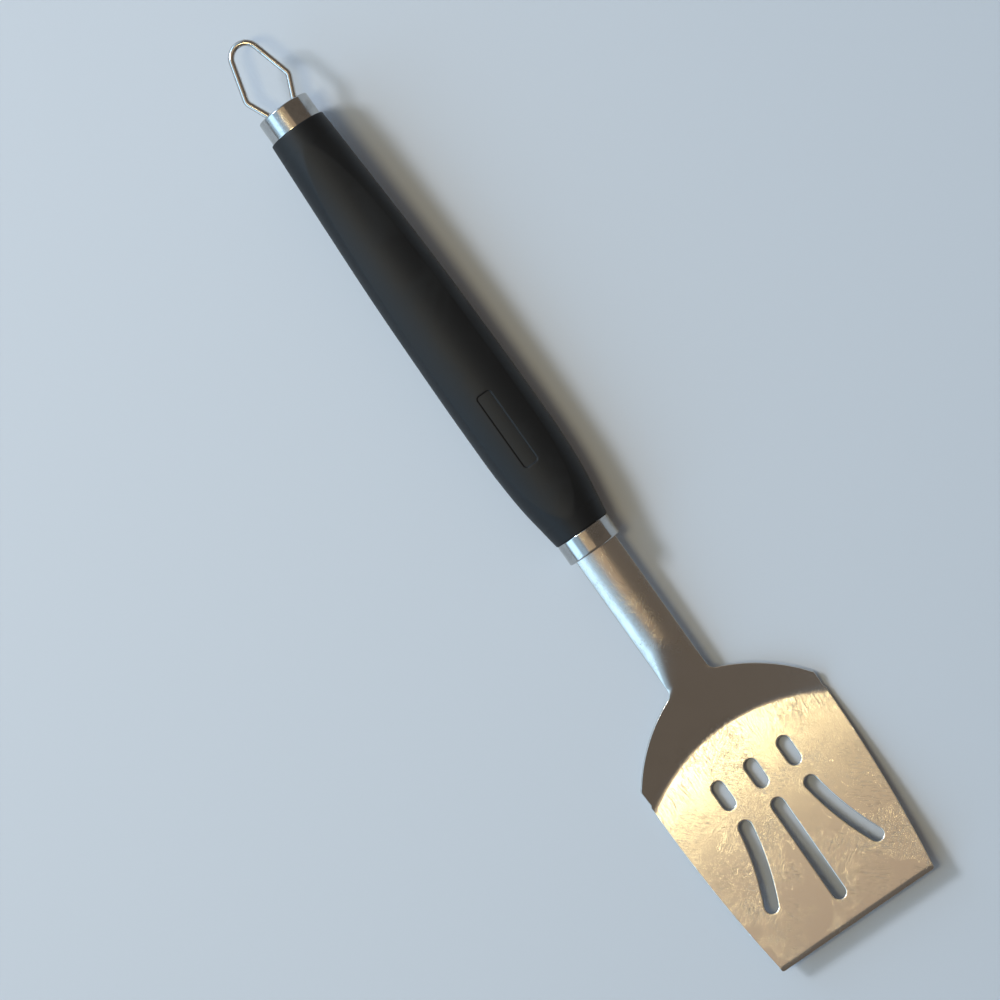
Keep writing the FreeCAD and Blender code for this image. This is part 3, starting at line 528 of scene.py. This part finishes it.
gloss = add(tree, "ShaderNodeMix", {"Factor": level(tree, rim, 0, 1), "A": gloss, "B": 0.16})
tree.links.new(gloss.outputs[0], shader.inputs["Roughness"])
height = plus(tree, times(tree, grain, 0.22), times(tree, wrinkles, 2.4))
height = plus(tree, height, times(tree, wiped, -1.5))
tree.links.new(relief(tree, height, 0.0052), shader.inputs["Normal"])
tree.links.new(level(tree, dirt, 1.0, 0.0), shader.inputs["Metallic"])
shader.inputs["Anisotropic"].default_value = 0.85
across_grain = add(tree, "ShaderNodeTangent", direction_type="UV_MAP", uv_map="across_grain")
tree.links.new(across_grain.outputs[0], shader.inputs["Tangent"])

SLOT_HALF = 3.1
SLOT_ROWS = 17.9


def curved_line(sign):
    """Middle line of a side slot, bowed towards the blade's middle."""
    return arc_through(on_blade(44.2, sign * SLOT_ROWS), on_blade(62.0, sign * 21.9),
                       on_blade(80.4, sign * 29.0), 40)


slots = [slot_outline([on_blade(23.0, y), on_blade(31.0, y)], SLOT_HALF)
         for y in (-SLOT_ROWS, 0.0, SLOT_ROWS)]
slots.append(slot_outline([on_blade(44.1, 0), on_blade(91.1, 0)], SLOT_HALF))
slots += [slot_outline(curved_line(sign), SLOT_HALF) for sign in (1, -1)]
pin_holes = [hole_outline(x, PIN_HOLE) for x in PIN_PLACES]
head_loops = [head_outline()] + slots + pin_holes
head_rims = [0.3] + [0.5] * len(slots) + [0.1] * len(pin_holes)
head_points = spread_points(head_loops, head_rims, 1.3)
fold_rows = fold_points()
off_fold = clearance(fold_rows, head_points) > 0.5
head = pressed_sheet("blade_pressing", head_loops, head_rims,
                     np.concatenate([head_points[off_fold], fold_rows]),
                     pressing_face, blade_steel)
across_grain = head.data.uv_layers.new(name="across_grain")
corners = np.array([head.data.vertices[loop.vertex_index].co[:2] for loop in head.data.loops])
across_grain.data.foreach_set("uv", (corners[:, ::-1] * 4 + 0.5).ravel())
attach(head, "handle")
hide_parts("blade_head")

# ---------------------------------------------------------------- grip
# A black soft-touch skin moulded over the core: an oval body with a leaf-shaped flatter panel
# on top, and a shallow plain pad let into the panel.
GRIP_STATIONS = np.array([
    (-192.2, 13.68, 13.28),
    (-155.0, 15.4, 14.3),
    (-110.0, 17.2, 15.4),
    (-73.0, 17.95, 15.9),
    (-36.0, 18.25, 16.1),
    (-12.0, 17.95, 15.9),
    (6.0, 16.65, 15.1),
    (17.0, 15.05, 14.2),
    (26.65, 13.6, 13.3),
])
PANEL_STATIONS = np.array([
    (-200.0, 14.3),
    (-177.0, 13.35),
    (-155.0, 12.75),
    (-110.0, 13.15),
    (-36.0, 13.9),
    (6.0, 13.95),
    (34.0, 14.3),
])
PANEL_CROWN = 29.4

SKIN = 2.8
BADGE_START, BADGE_END = -48.3, -10.3
BADGE_HALF = 3.7
BADGE_CORNER = 1.6
BADGE_DEPTH = 0.48
BADGE_WALL = 0.6
END_ROUND = 0.5
HALF_COLUMNS = 124


def along_stations(stations, column, x):
    """A smooth curve through one column of the stations."""
    places, values = stations[:, 0], stations[:, column]
    slopes = np.gradient(values, places)
    n = np.clip(np.searchsorted(places, x) - 1, 0, len(places) - 2)
    gap = places[n + 1] - places[n]
    t = np.clip((x - places[n]) / gap, 0, 1)
    return ((1 + 2 * t) * (1 - t) ** 2 * values[n] + t * (1 - t) ** 2 * gap * slopes[n]
            + t * t * (3 - 2 * t) * values[n + 1] + t * t * (t - 1) * gap * slopes[n + 1])


def oval_reach(x, turn, inset=0.0):
    """Distance from the axis to the grip's oval body, the turn measured from its top."""
    wide = along_stations(GRIP_STATIONS, 1, x) - inset
    high = along_stations(GRIP_STATIONS, 2, x) - inset
    return 1 / np.sqrt((np.sin(turn) / wide) ** 2 + (np.cos(turn) / high) ** 2)


def panel_reach(x, turn, inset=0.0):
    """Distance from the axis to the crowned panel on top."""
    middle = along_stations(PANEL_STATIONS, 1, x) - PANEL_CROWN
    crown = PANEL_CROWN - inset
    return np.cos(turn) * middle + np.sqrt(crown ** 2 - (middle * np.sin(turn)) ** 2)


def badge_sink(x, y):
    """How deep the plain pad is let in: nothing outside its rounded rectangle."""
    middle = (BADGE_START + BADGE_END) / 2
    over_x = np.abs(x - middle) - (BADGE_END - BADGE_START) / 2 + BADGE_CORNER
    over_y = np.abs(y) - BADGE_HALF + BADGE_CORNER
    outside = np.hypot(np.maximum(over_x, 0), np.maximum(over_y, 0)) - BADGE_CORNER
    inside = np.minimum(np.maximum(over_x, over_y) - BADGE_CORNER, 0)
    edge = np.where((over_x > 0) | (over_y > 0), outside, inside)
    share = np.clip(0.5 - edge / BADGE_WALL, 0, 1)
    return BADGE_DEPTH * share * share * (3 - 2 * share)


def grip_turns(x):
    """Turns of one row's columns: close together at the panel's crease and the pad's edge."""
    fine = np.linspace(0, math.pi, 2400)
    gap = oval_reach(np.full_like(fine, x), fine) - panel_reach(np.full_like(fine, x), fine)
    crease = fine[np.argmax(gap < 0)] if gap[0] > 0 else 0.0
    weight = 1 + 9 * np.exp(-((fine - crease) / 0.055) ** 2)
    weight += 11 / (1 + np.exp(np.clip((np.abs(fine - 0.215) - 0.07) / 0.006, -50, 50)))
    total = np.concatenate([[0], np.cumsum((weight[1:] + weight[:-1]) / 2)])
    half = np.interp(np.linspace(0, total[-1], HALF_COLUMNS + 1), total, fine)
    return np.concatenate([half, -half[-2:0:-1]])


def to_row(x, y, z):
    """From the handle's own axes to the tool's."""
    c, s = math.cos(HANDLE_PITCH), math.sin(HANDLE_PITCH)
    return np.stack([x * c + z * s, y, HANDLE_HEIGHT - x * s + z * c], -1)


def grip_row(x, inset, outside):
    """One ring of the grip's skin, outer or inner face."""
    turns = grip_turns(x)
    places = np.full_like(turns, x)
    if outside:
        reach = soft_min(oval_reach(places, turns), panel_reach(places, turns), 0.14) - inset
        reach -= badge_sink(places, reach * np.sin(turns)) * (np.cos(turns) > 0)
    else:
        reach = np.minimum(oval_reach(places, turns, SKIN), panel_reach(places, turns, SKIN))
    return to_row(places, reach * np.sin(turns), reach * np.cos(turns))


handle_rear, handle_front = GRIP_STATIONS[0, 0], GRIP_STATIONS[-1, 0]
row_places = [np.arange(handle_rear + END_ROUND, handle_front - END_ROUND, 1.25)]
for end in (BADGE_START, BADGE_END):
    inward = 1 if end == BADGE_START else -1
    row_places.append(end + inward * np.arange(-0.3, 1.9, 0.11))
row_places = np.unique(np.concatenate(row_places))
row_places = row_places[np.concatenate([[True], np.diff(row_places) > 0.03])]
rings = []
for turn in np.radians((0, 22, 45, 67)):
    rings.append(grip_row(handle_rear + END_ROUND * (1 - math.sin(turn)),
                          END_ROUND * (1 - math.cos(turn)), True))
rings = rings[::-1] + [grip_row(x, 0.0, True) for x in row_places[1:]]
for turn in np.radians((0, 22, 45, 67)):
    rings.append(grip_row(handle_front - END_ROUND * (1 - math.sin(turn)),
                          END_ROUND * (1 - math.cos(turn)), True))
rings.append(grip_row(handle_front, END_ROUND, True))
rings += [grip_row(x, 0.0, False) for x in np.linspace(handle_front, handle_rear, 24)]
rings.append(grip_row(handle_rear, END_ROUND, True))
columns = 2 * HALF_COLUMNS
skin_faces = [
    (row * columns + n, row * columns + (n + 1) % columns,
     (row + 1) % len(rings) * columns + (n + 1) % columns, (row + 1) % len(rings) * columns + n)
    for row in range(len(rings)) for n in range(columns)
]

# Fine spark-eroded texture, a faint bloom of handling and a little lint.
grip_rubber, tree, shader = new_finish("grip_rubber")
bloom = use(tree, smudges, size=38.0, cover=0.45)
lint = use(tree, specks, spacing=7.0, radius=0.13)
pores = add(tree, "ShaderNodeTexNoise", {"Vector": millimetres(tree), "Scale": 3.2, "Detail": 3.0})
tone = tint(tree, bloom, (0.0088, 0.0096, 0.0108), (0.0122, 0.0131, 0.0142))
dusted = add(tree, "ShaderNodeMix", {"Factor": times(tree, lint, 0.4), 6: tone}, data_type="RGBA")
dusted.inputs[7].default_value = (0.16, 0.16, 0.155, 1)
tree.links.new(dusted.outputs[2], shader.inputs["Base Color"])
gloss = plus(tree, level(tree, bloom, 0.50, 0.60), level(tree, pores.outputs[0], -0.05, 0.05))
tree.links.new(gloss, shader.inputs["Roughness"])
tree.links.new(relief(tree, pores.outputs[0], 0.02), shader.inputs["Normal"])
shader.inputs["Specular IOR Level"].default_value = 0.30

grip = plain_mesh("grip_skin", np.concatenate(rings), skin_faces, grip_rubber)
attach(grip, "handle")
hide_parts("handle_grip")

# ---------------------------------------------------------------- core and end plug
# Hard moulded plastic inside the grip, and the two halves of the plug that hold the loop.
hard_plastic, tree, shader = new_finish("hard_plastic")
worn = use(tree, smudges, size=12.0, cover=0.5)
tree.links.new(tint(tree, worn, (0.018, 0.018, 0.019), (0.035, 0.034, 0.033)),
               shader.inputs["Base Color"])
tree.links.new(level(tree, worn, 0.35, 0.5), shader.inputs["Roughness"])
flow = add(tree, "ShaderNodeTexNoise", {"Vector": millimetres(tree), "Scale": 1.4, "Detail": 4.0})
tree.links.new(relief(tree, flow.outputs[0], 0.03), shader.inputs["Normal"])


def dress(node, finish):
    """Give a frame part its finish."""
    slots_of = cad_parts[node].data.materials
    slots_of.clear()
    slots_of.append(finish)


for name in ("handle_core", "upper_plug_half", "lower_plug_half"):
    dress(name, hard_plastic)

# ---------------------------------------------------------------- ferrules
# Two deep-drawn stainless caps, polished on a lathe, so their fine lines run round.
ferrule_steel, tree, shader = new_finish("ferrule_steel")
spot = millimetres(tree)
turned_lines = stretched_noise(
    tree, add(tree, "ShaderNodeVectorRotate", {"Vector": spot, "Angle": math.pi / 2},
              rotation_type="Z_AXIS").outputs[0], 30.0, 0.11)
handled = use(tree, smudges, size=9.0, cover=0.48)
nicks = use(tree, scratches, angle=0.7, length=4.0, width=0.14, sparsity=0.66)
tree.links.new(tint(tree, handled, (0.50, 0.495, 0.48), (0.40, 0.39, 0.375)),
               shader.inputs["Base Color"])
gloss = plus(tree, level(tree, turned_lines, 0.06, 0.20), level(tree, handled, 0.0, 0.12))
tree.links.new(plus(tree, gloss, times(tree, nicks, 0.15)), shader.inputs["Roughness"])
height = plus(tree, turned_lines, times(tree, nicks, -1.0))
tree.links.new(relief(tree, height, 0.003), shader.inputs["Normal"])
shader.inputs["Metallic"].default_value = 1.0

CAP_WALL = 0.8
CAP_EDGE = 0.7
FRONT_CAP_RADIUS, FRONT_CAP_END = 13.3, 36.9
REAR_CAP_RADIUS, REAR_CAP_END = 12.7, -203.4
REAR_MOUTH = 11.2
CAP_STEPS = 150
SLOT_PLAY = 0.25


def drawn_cap(name, end, depth, radius, holes, hole_rims, forward):
    """A cup drawn from flat sheet: end wall, rounded edge and cylinder, open towards the grip.

    Its plan is the flat sheet: across the end wall, round the edge and down the side.
    """
    flat = radius - CAP_EDGE
    bend = CAP_EDGE * math.pi / 2
    rim = 0.15

    def cap_face(spots):
        distance = np.maximum(np.hypot(*spots.T), 1e-9)
        across, up = spots.T / distance
        turn = np.clip((distance - flat) / CAP_EDGE, 0, math.pi / 2)
        down = np.maximum(distance - flat - bend, 0)
        reach = np.minimum(distance, flat) + CAP_EDGE * np.sin(turn)
        back = CAP_EDGE * (1 - np.cos(turn)) + down
        if not forward:
            across, up = up, across
        way = 1 if forward else -1
        places = to_row(end - way * back, reach * across, reach * up)
        tips = to_row(end - way * back + way * np.cos(turn),
                      (reach + np.sin(turn)) * across, (reach + np.sin(turn)) * up)
        return places, tips - places, np.full((len(spots), 1), CAP_WALL)

    outside = flat + bend + depth - CAP_EDGE
    loops = [hole_outline(0.0, outside, CAP_STEPS)[::-1]] + holes
    rings = [hole_outline(0.0, r, CAP_STEPS) for r in np.arange(outside - 0.6, flat + bend, -0.7)]
    rings += [hole_outline(0.0, flat + bend * share, CAP_STEPS) for share in np.linspace(0, 1, 7)]
    rings += [hole_outline(0.0, flat - step, CAP_STEPS) for step in (0.25, 0.6)]
    inner = spread_points([hole_outline(0.0, flat - 1.0, CAP_STEPS)[::-1]] + holes,
                          [0.0] + hole_rims, 1.1)
    piece = pressed_sheet(name, loops, [rim] + hole_rims, np.concatenate(rings + [inner]),
                          cap_face, ferrule_steel)
    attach(piece, "handle")
    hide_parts(name.replace("_cap", "_ferrule"))


def neck_slot():
    """Edge of the arched slot that the neck comes through, material on its left."""
    half = NECK_HALF + SLOT_PLAY
    middle = NECK_TOP - NECK_RADIUS
    spots = []
    for radius, way in ((NECK_RADIUS + SLOT_PLAY, 1), (NECK_RADIUS - SHEET - SLOT_PLAY, -1)):
        for turn in np.linspace(-way, way, 40) * math.asin(half / radius):
            spots.append((radius * math.sin(turn), middle + radius * math.cos(turn)))
    return even_loop(spots, 0.6)


drawn_cap("front_cap", FRONT_CAP_END, FRONT_CAP_END - handle_front, FRONT_CAP_RADIUS,
          [neck_slot()], [0.12], True)
drawn_cap("rear_cap", REAR_CAP_END, handle_rear - REAR_CAP_END, REAR_CAP_RADIUS,
          [hole_outline(0.0, REAR_MOUTH, 120)], [0.25], False)

# ---------------------------------------------------------------- pins and screw
# Plain steel fixings inside the handle: two chamfered pins through the core and the tang, and
# the cross-head screw in the end plug.
fixing_steel, tree, shader = new_finish("fixing_steel")
oiled = use(tree, smudges, size=3.0, cover=0.45)
tree.links.new(tint(tree, oiled, (0.50, 0.49, 0.47), (0.36, 0.34, 0.31)),
               shader.inputs["Base Color"])
tree.links.new(level(tree, oiled, 0.25, 0.42), shader.inputs["Roughness"])
shader.inputs["Metallic"].default_value = 1.0
dress("plug_screw", fixing_steel)


def new_tree(name, inputs):
    """A geometry tree with a geometry socket each way and named inputs with their values."""
    tree = bpy.data.node_groups.new(name, "GeometryNodeTree")
    tree.interface.new_socket("Geometry", in_out="OUTPUT", socket_type="NodeSocketGeometry")
    tree.interface.new_socket("Geometry", in_out="INPUT", socket_type="NodeSocketGeometry")
    for label, (kind, value) in inputs.items():
        socket = tree.interface.new_socket(label, in_out="INPUT", socket_type="NodeSocket" + kind)
        if kind != "Material":
            socket.default_value = value
    return tree, tree.nodes.new("NodeGroupInput").outputs, tree.nodes.new("NodeGroupOutput").inputs


def finish_tree(tree, shape, material, result):
    """End a tree in smooth faces, real geometry and its material."""
    shape = add(tree, "GeometryNodeRealizeInstances", {0: shape}).outputs[0]
    shape = add(tree, "GeometryNodeSetShadeSmooth", {0: shape}).outputs[0]
    shape = add(tree, "GeometryNodeSetMaterial", {"Geometry": shape, "Material": material})
    tree.links.new(shape.outputs[0], result[0])


def made_by(tree, base, values, name):
    """A plain mesh from a geometry tree run on a base mesh with the given inputs."""
    holder = bpy.data.objects.new(name, base)
    bpy.context.scene.collection.objects.link(holder)
    modifier = holder.modifiers.new("shape", "NODES")
    modifier.node_group = tree
    for item in tree.interface.items_tree:
        if item.item_type == "SOCKET" and item.in_out == "INPUT" and item.name in values:
            modifier[item.identifier] = values[item.name]
    evaluated = holder.evaluated_get(bpy.context.evaluated_depsgraph_get())
    mesh = bpy.data.meshes.new_from_object(evaluated)
    mesh.name = name
    holder.modifiers.remove(modifier)
    holder.data = mesh
    return holder


PIN_RADIUS = 1.5
PIN_LENGTH = 18.0
PIN_CHAMFER = 0.4
pin_tree, given, result = new_tree("chamfered_pins", {
    "Pin Radius": ("Float", 0.001), "Pin Length": ("Float", 0.01),
    "Chamfer": ("Float", 0.0004), "Tilt": ("Float", 0.0), "Finish": ("Material", None)})
blank = add(pin_tree, "GeometryNodeMeshCylinder", {
    "Vertices": 32, "Side Segments": 40, "Fill Segments": 1,
    "Radius": given["Pin Radius"], "Depth": given["Pin Length"]}).outputs[0]
spot = add(pin_tree, "GeometryNodeInputPosition").outputs[0]
height = add(pin_tree, "ShaderNodeSeparateXYZ", {0: spot}).outputs[2]
height = add(pin_tree, "ShaderNodeMath", {0: height}, operation="ABSOLUTE").outputs[0]
half = times(pin_tree, given["Pin Length"], 0.5)
start = add(pin_tree, "ShaderNodeMath", {0: half, 1: given["Chamfer"]},
            operation="SUBTRACT").outputs[0]
narrow = add(pin_tree, "ShaderNodeMapRange",
             {"Value": height, "From Min": start, "From Max": half, "To Min": 1.0, "To Max": 0.78})
scale = add(pin_tree, "ShaderNodeCombineXYZ",
            {0: narrow.outputs[0], 1: narrow.outputs[0], 2: 1.0}).outputs[0]
moved = add(pin_tree, "ShaderNodeVectorMath", {0: spot, 1: scale}, operation="MULTIPLY").outputs[0]
pin = add(pin_tree, "GeometryNodeSetPosition", {"Geometry": blank, "Position": moved}).outputs[0]
tilt = add(pin_tree, "ShaderNodeCombineXYZ", {1: given["Tilt"]}).outputs[0]
centres = add(pin_tree, "GeometryNodeMeshToPoints", {"Mesh": given["Geometry"]}).outputs[0]
pins = add(pin_tree, "GeometryNodeInstanceOnPoints",
           {"Points": centres, "Instance": pin, "Rotation": tilt}).outputs[0]
finish_tree(pin_tree, pins, given["Finish"], result)

pin_base = bpy.data.meshes.new("pin_centres")
pin_base.from_pydata([tuple(to_row(x, 0.0, 0.0) * MM) for x in PIN_PLACES], [], [])
tang_pins = made_by(pin_tree, pin_base, {
    "Pin Radius": PIN_RADIUS * MM, "Pin Length": PIN_LENGTH * MM, "Chamfer": PIN_CHAMFER * MM,
    "Tilt": HANDLE_PITCH, "Finish": fixing_steel}, "steel_pins")
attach(tang_pins, "handle")
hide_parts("tang_pins")

# ---------------------------------------------------------------- hanging loop
# One bent wire, 3 mm, drawn bright: a route of straight runs whose corners are rounded, swept
# with a round section. Its two ends turn out into the plug's bearings.
bright_wire, tree, shader = new_finish("bright_wire")
dulled = use(tree, smudges, size=6.0, cover=0.5)
draw_lines = use(tree, brush_grain, length=14.0, width=0.09)
tree.links.new(tint(tree, dulled, (0.62, 0.60, 0.57), (0.45, 0.43, 0.40)),
               shader.inputs["Base Color"])
tree.links.new(plus(tree, level(tree, dulled, 0.08, 0.24), level(tree, draw_lines, 0.0, 0.08)),
               shader.inputs["Roughness"])
tree.links.new(relief(tree, draw_lines, 0.002), shader.inputs["Normal"])
shader.inputs["Metallic"].default_value = 1.0

WIRE_RADIUS = 1.5
LOOP_PIVOT = -198.4
LOOP_END_Y = 10.9
LOOP_ROOT_Y = 6.7
LOOP_STRAIGHT = 5.6
SHOULDER = (-214.9, 11.5)
PIVOT_BEND = 2.0
SHOULDER_BEND = 4.0
SIDE_ANGLE = math.radians(15.5)
LOOP_APEX = -239.53
apex_corner = SHOULDER[0] - SHOULDER[1] / math.tan(SIDE_ANGLE)
apex_radius = (LOOP_APEX + WIRE_RADIUS - apex_corner) / (1 / math.sin(SIDE_ANGLE) - 1)
half_loop = [
    (LOOP_PIVOT, LOOP_END_Y, 0.0),
    (LOOP_PIVOT, LOOP_ROOT_Y, PIVOT_BEND),
    (LOOP_PIVOT - LOOP_STRAIGHT, LOOP_ROOT_Y, SHOULDER_BEND),
    (*SHOULDER, SHOULDER_BEND),
]
bends = half_loop + [(apex_corner, 0.0, apex_radius)]
bends += [(x, -y, radius) for x, y, radius in half_loop[::-1]]

wire_tree, given, result = new_tree("bent_wire", {
    "Wire Radius": ("Float", 0.001), "Bend Steps": ("Int", 8), "Round Steps": ("Int", 16),
    "Finish": ("Material", None)})
route = add(wire_tree, "GeometryNodeMeshToCurve", {"Mesh": given["Geometry"]}).outputs[0]
bend_radius = add(wire_tree, "GeometryNodeInputNamedAttribute", {"Name": "bend"}).outputs[0]
filleted = add(wire_tree, "GeometryNodeFilletCurve", {
    "Curve": route, "Count": given["Bend Steps"], "Radius": bend_radius, "Limit Radius": True},
    mode="POLY").outputs[0]
ring = add(wire_tree, "GeometryNodeCurvePrimitiveCircle", {
    "Resolution": given["Round Steps"], "Radius": given["Wire Radius"]}).outputs[0]
wire = add(wire_tree, "GeometryNodeCurveToMesh", {
    "Curve": filleted, "Profile Curve": ring, "Fill Caps": True}).outputs[0]
finish_tree(wire_tree, wire, given["Finish"], result)

wire_base = bpy.data.meshes.new("loop_route")
wire_base.from_pydata([tuple(to_row(x, y, 0.0) * MM) for x, y, _ in bends],
                      [(n, n + 1) for n in range(len(bends) - 1)], [])
bend_values = wire_base.attributes.new("bend", "FLOAT", "POINT")
bend_values.data.foreach_set("value", [radius * MM for *_, radius in bends])
loop = made_by(wire_tree, wire_base, {
    "Wire Radius": WIRE_RADIUS * MM, "Bend Steps": 14, "Round Steps": 32,
    "Finish": bright_wire}, "wire_loop")
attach(loop, "loop")
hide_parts("hanging_loop")

# ---------------------------------------------------------------- bench, lights and camera
# A plain pale bench, cool light from a window on one side, and a warm lamp overhead. The glow
# only shows in reflections, and the fill only lights matt surfaces.
bench_paint = bpy.data.materials.new("pale_bench")
bench_paint.use_nodes = True
shader = bench_paint.node_tree.nodes["Principled BSDF"]
shader.inputs["Base Color"].default_value = (0.60, 0.64, 0.70, 1)
shader.inputs["Roughness"].default_value = 0.7
bench = plain_mesh("bench", [(-4, -4, 0), (4, -4, 0), (4, 4, 0), (-4, 4, 0)], [(0, 1, 2, 3)],
                   bench_paint, 1.0)
bench.location = (0, 0, -0.0003)


def area_lamp(name, place, target, size, power, colour):
    """A soft rectangular lamp aimed at a point."""
    lamp = bpy.data.lights.new(name, "AREA")
    lamp.shape = "RECTANGLE"
    lamp.size, lamp.size_y = size
    lamp.energy = power
    lamp.color = colour
    holder = bpy.data.objects.new(name, lamp)
    holder.location = place
    holder.rotation_mode = "QUATERNION"
    holder.rotation_quaternion = (Vector(target) - Vector(place)).to_track_quat("-Z", "Y")
    bpy.context.scene.collection.objects.link(holder)
    return holder


area_lamp("side_light", (-1.35, -1.1, 1.7), (0, 0, 0), (0.45, 0.45), 26, (0.90, 0.95, 1.0))
area_lamp("ceiling_lamp", (-0.12, -0.33, 1.6), (-0.12, -0.33, 0), (0.17, 0.36), 2.9,
          (1.0, 0.82, 0.42))
glow = area_lamp("ceiling_glow", (-0.10, -0.15, 1.62), (-0.10, -0.15, 0), (0.70, 1.0), 1.1,
                 (1.0, 0.70, 0.42))
glow.visible_diffuse = False
fill = area_lamp("ceiling_fill", (-0.13, -0.33, 1.6), (-0.13, -0.33, 0), (0.2, 0.4), 2.6,
                 (1.0, 0.86, 0.58))
fill.visible_glossy = False

world = bpy.data.worlds.new("room")
world.use_nodes = True
sky = world.node_tree
way = add(sky, "ShaderNodeSeparateXYZ", {0: add(sky, "ShaderNodeTexCoord").outputs["Generated"]})
towards_window = plus(sky, times(sky, way.outputs[1], -1.0), times(sky, way.outputs[0], -0.6))
window_share = step_between(sky, towards_window, 0.16, 0.55)
pane_share = times(sky, step_between(sky, towards_window, 0.70, 0.80),
                   step_between(sky, towards_window, 1.02, 0.94))
above = step_between(sky, way.outputs[2], 0.0, 0.25)
brightness = plus(sky, times(sky, window_share, 0.45), times(sky, pane_share, 1.3))
room_tone = tint(sky, times(sky, brightness, above), (0.17, 0.142, 0.116), (0.92, 1.36, 1.78))
sky.links.new(room_tone, sky.nodes["Background"].inputs["Color"])
sky.nodes["Background"].inputs["Strength"].default_value = 1.0
bpy.context.scene.world = world

bpy.context.scene.view_settings.view_transform = "Standard"

CAMERA_PLACE = Vector((0.0287, 0.1046, 1.4382))
CAMERA_BACK = Vector((0.0239, 0.0887, 0.9958)).normalized()
screen_right = Vector((0.5771, 0.8121, -0.0862))
screen_right = (screen_right - CAMERA_BACK * screen_right.dot(CAMERA_BACK)).normalized()
screen_up = CAMERA_BACK.cross(screen_right)
camera = bpy.data.cameras.new("camera")
camera.sensor_width = 36.0
camera.lens = 115.2
camera_holder = bpy.data.objects.new("camera", camera)
camera_holder.matrix_world = (
    Matrix.Translation(CAMERA_PLACE)
    @ Matrix((screen_right, screen_up, CAMERA_BACK)).transposed().to_4x4())
bpy.context.scene.collection.objects.link(camera_holder)
bpy.context.scene.camera = camera_holder
